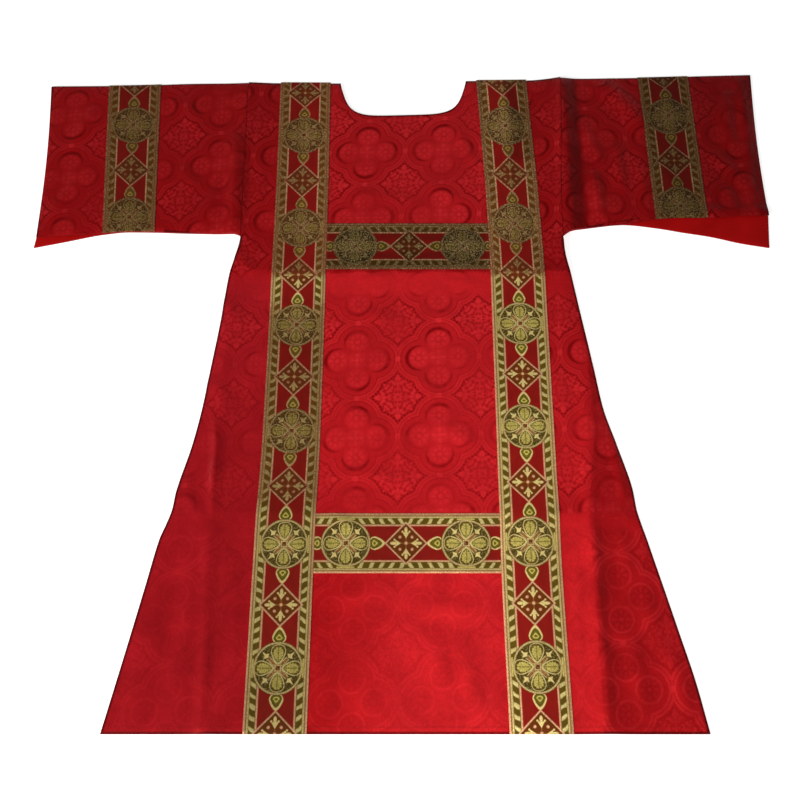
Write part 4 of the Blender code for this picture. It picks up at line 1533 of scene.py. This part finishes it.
def sleeveRow(tools, column, toColumn, share, out):
    # a row of points on a sleeve's front, between two of its columns
    line = []
    for k in range(sleeveCloth["frontRows"]):
        one, other = (Vector(tools["point"](here, k, out)[0]) for here in (column, toColumn))
        line.append(one.lerp(other, share))
    return finer(line)


def sleeveBandSeams(cut, tools):
    first, last = cut["band"]
    out = body["wall"] + body["gap"] + galloon["wall"]
    share = stitching["inset"] / galloon["width"] * (last - first)
    edges = ((first, first + 1), (last, last - 1))
    return [sleeveRow(tools, column, inner, share, out) for column, inner in edges]


def hemSeams():
    half = galloon["width"] / 2
    hem, clear, ends = (stitching[name] for name in ("hem", "clear", "ends"))
    left, right = bandMiddle["left"](hem), bandMiddle["right"](hem)
    spans = (
        (leftEdge(hem) + ends, left - half),
        (left + half, right - half),
        (right + half, rightEdge(hem) - ends),
    )
    return [[onFront(x, hem) for x in pointsFrom(start + clear, end - clear)] for start, end in spans]


def neckSeam():
    inset = stitching["neck"]
    first, last, count = stitching["neckPoints"]
    centre = Vector(((neck["left"] + neck["right"]) / 2, body["length"] + stitching["neckCentre"]))
    around = []
    for x, height in [neckPoint(k / count) for k in range(first, last)]:
        away = (Vector((x, height)) - centre).normalized()
        around.append(onFront(x + away.x * inset, height + away.y * inset))
    return around


def cuffSeam(tools, column, toColumn):
    return sleeveRow(tools, column, toColumn, stitching["cuff"], body["wall"])


galloonRows = galloonSeams()
galloonRows += sleeveBandSeams(sleeveLeft, leftTools) + sleeveBandSeams(sleeveRight, rightTools)
galloonStitches = stitchPiece("galloonStitches", galloonRows, goldThread)
hemRows = hemSeams() + [neckSeam(), cuffSeam(leftTools, 0, 2), cuffSeam(rightTools, 60, 58)]
hemStitches = stitchPiece("hemStitches", hemRows, redThread)
print("stitches sewn")

# what each piece of cloth was cut to: flat size, area, what it rests on, what is sewn to it
cuts = (
    (front, (0.950, 1.267), 0.885, ["back"], [hemStitches]),
    (back, (0.950, 1.267), 0.885, ["floor"], []),
    (leftPieces[0], (0.397, 0.750), 0.268, ["lining_sleeve_left"], []),
    (rightPieces[0], (0.383, 0.750), 0.270, ["lining_sleeve_right"], []),
    (leftPieces[1], (0.397, 0.375), 0.133, ["sleeve_left"], []),
    (rightPieces[1], (0.383, 0.400), 0.135, ["sleeve_right"], []),
    (galloonLeft, (0.100, 1.262), None, ["front"], [galloonStitches]),
    (galloonRight, (0.100, 1.262), None, ["front"], []),
    (crossUpper, (0.301, 0.100), None, ["front"], []),
    (crossLower, (0.310, 0.100), None, ["front"], []),
    (leftPieces[2], (0.100, 0.345), None, ["sleeve_left"], []),
    (rightPieces[2], (0.100, 0.335), None, ["sleeve_right"], []),
)
for piece, flat, area, under, sewn in cuts:
    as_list(under)
    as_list(sewn)

# floor, light and camera
studio = {
    "floor": srgb(244, 244, 242),
    "floorSize": 20,
    "floorLevel": -0.0003,
    "world": 0.20,
    # each lamp's place, aim, size, power and spread in degrees
    "key": ((-2.40, -2.60, 2.10), (0, 0, 0), 0.9, 130.0, 180),
    "pool": ((0.14, -0.80, 1.15), (0.12, -0.25, 0), 0.35, 1.0, 100),
    "glow": 0.72,  # the floor's own light, which keeps it white
    "camera": (-0.0035, -0.7535, 1.688),
    "tilt": 22,  # degrees from straight down
    "lens": 46.5,
    "sensor": 36,
}


def makeFloor():
    sheet = bmesh.new()
    bmesh.ops.create_grid(sheet, x_segments=1, y_segments=1, size=studio["floorSize"])
    bmesh.ops.translate(sheet, verts=sheet.verts, vec=(0, 0, studio["floorLevel"]))
    mesh = bpy.data.meshes.new("floor")
    sheet.to_mesh(mesh)
    sheet.free()
    finish = newFinish(
        "pale floor", Base_Color=studio["floor"], Roughness=0.8, Specular_IOR_Level=0.2,
        Emission_Color=(1, 1, 1, 1), Emission_Strength=studio["glow"],
    )[0]
    mesh.materials.append(finish)
    floor = bpy.data.objects.new("floor", mesh)
    bpy.context.scene.collection.objects.link(floor)


def makeLight(name, where, aim, size, power, spread):
    lamp = bpy.data.lights.new(name, "AREA")
    lamp.shape = "DISK"
    lamp.size = size
    lamp.energy = power
    lamp.spread = radians(spread)
    holder = bpy.data.objects.new(name, lamp)
    holder.location = where
    holder.rotation_euler = (Vector(aim) - Vector(where)).to_track_quat("-Z", "Y").to_euler()
    bpy.context.scene.collection.objects.link(holder)


def makeWorld():
    world = bpy.data.worlds.new("studio")
    world.use_nodes = True
    sky = world.node_tree.nodes["Background"]
    sky.inputs["Color"].default_value = (1, 1, 1, 1)
    sky.inputs["Strength"].default_value = studio["world"]
    bpy.context.scene.world = world


def makeCamera():
    lens = bpy.data.cameras.new("camera")
    lens.lens = studio["lens"]
    lens.sensor_width = studio["sensor"]
    camera = bpy.data.objects.new("camera", lens)
    camera.location = studio["camera"]
    camera.rotation_euler = (radians(studio["tilt"]), 0, 0)
    bpy.context.scene.collection.objects.link(camera)
    bpy.context.scene.camera = camera


makeFloor()
makeLight("key", *studio["key"])
makeLight("pool", *studio["pool"])
makeWorld()
makeCamera()
bpy.context.scene.view_settings.view_transform = "Standard"
print("studio set")
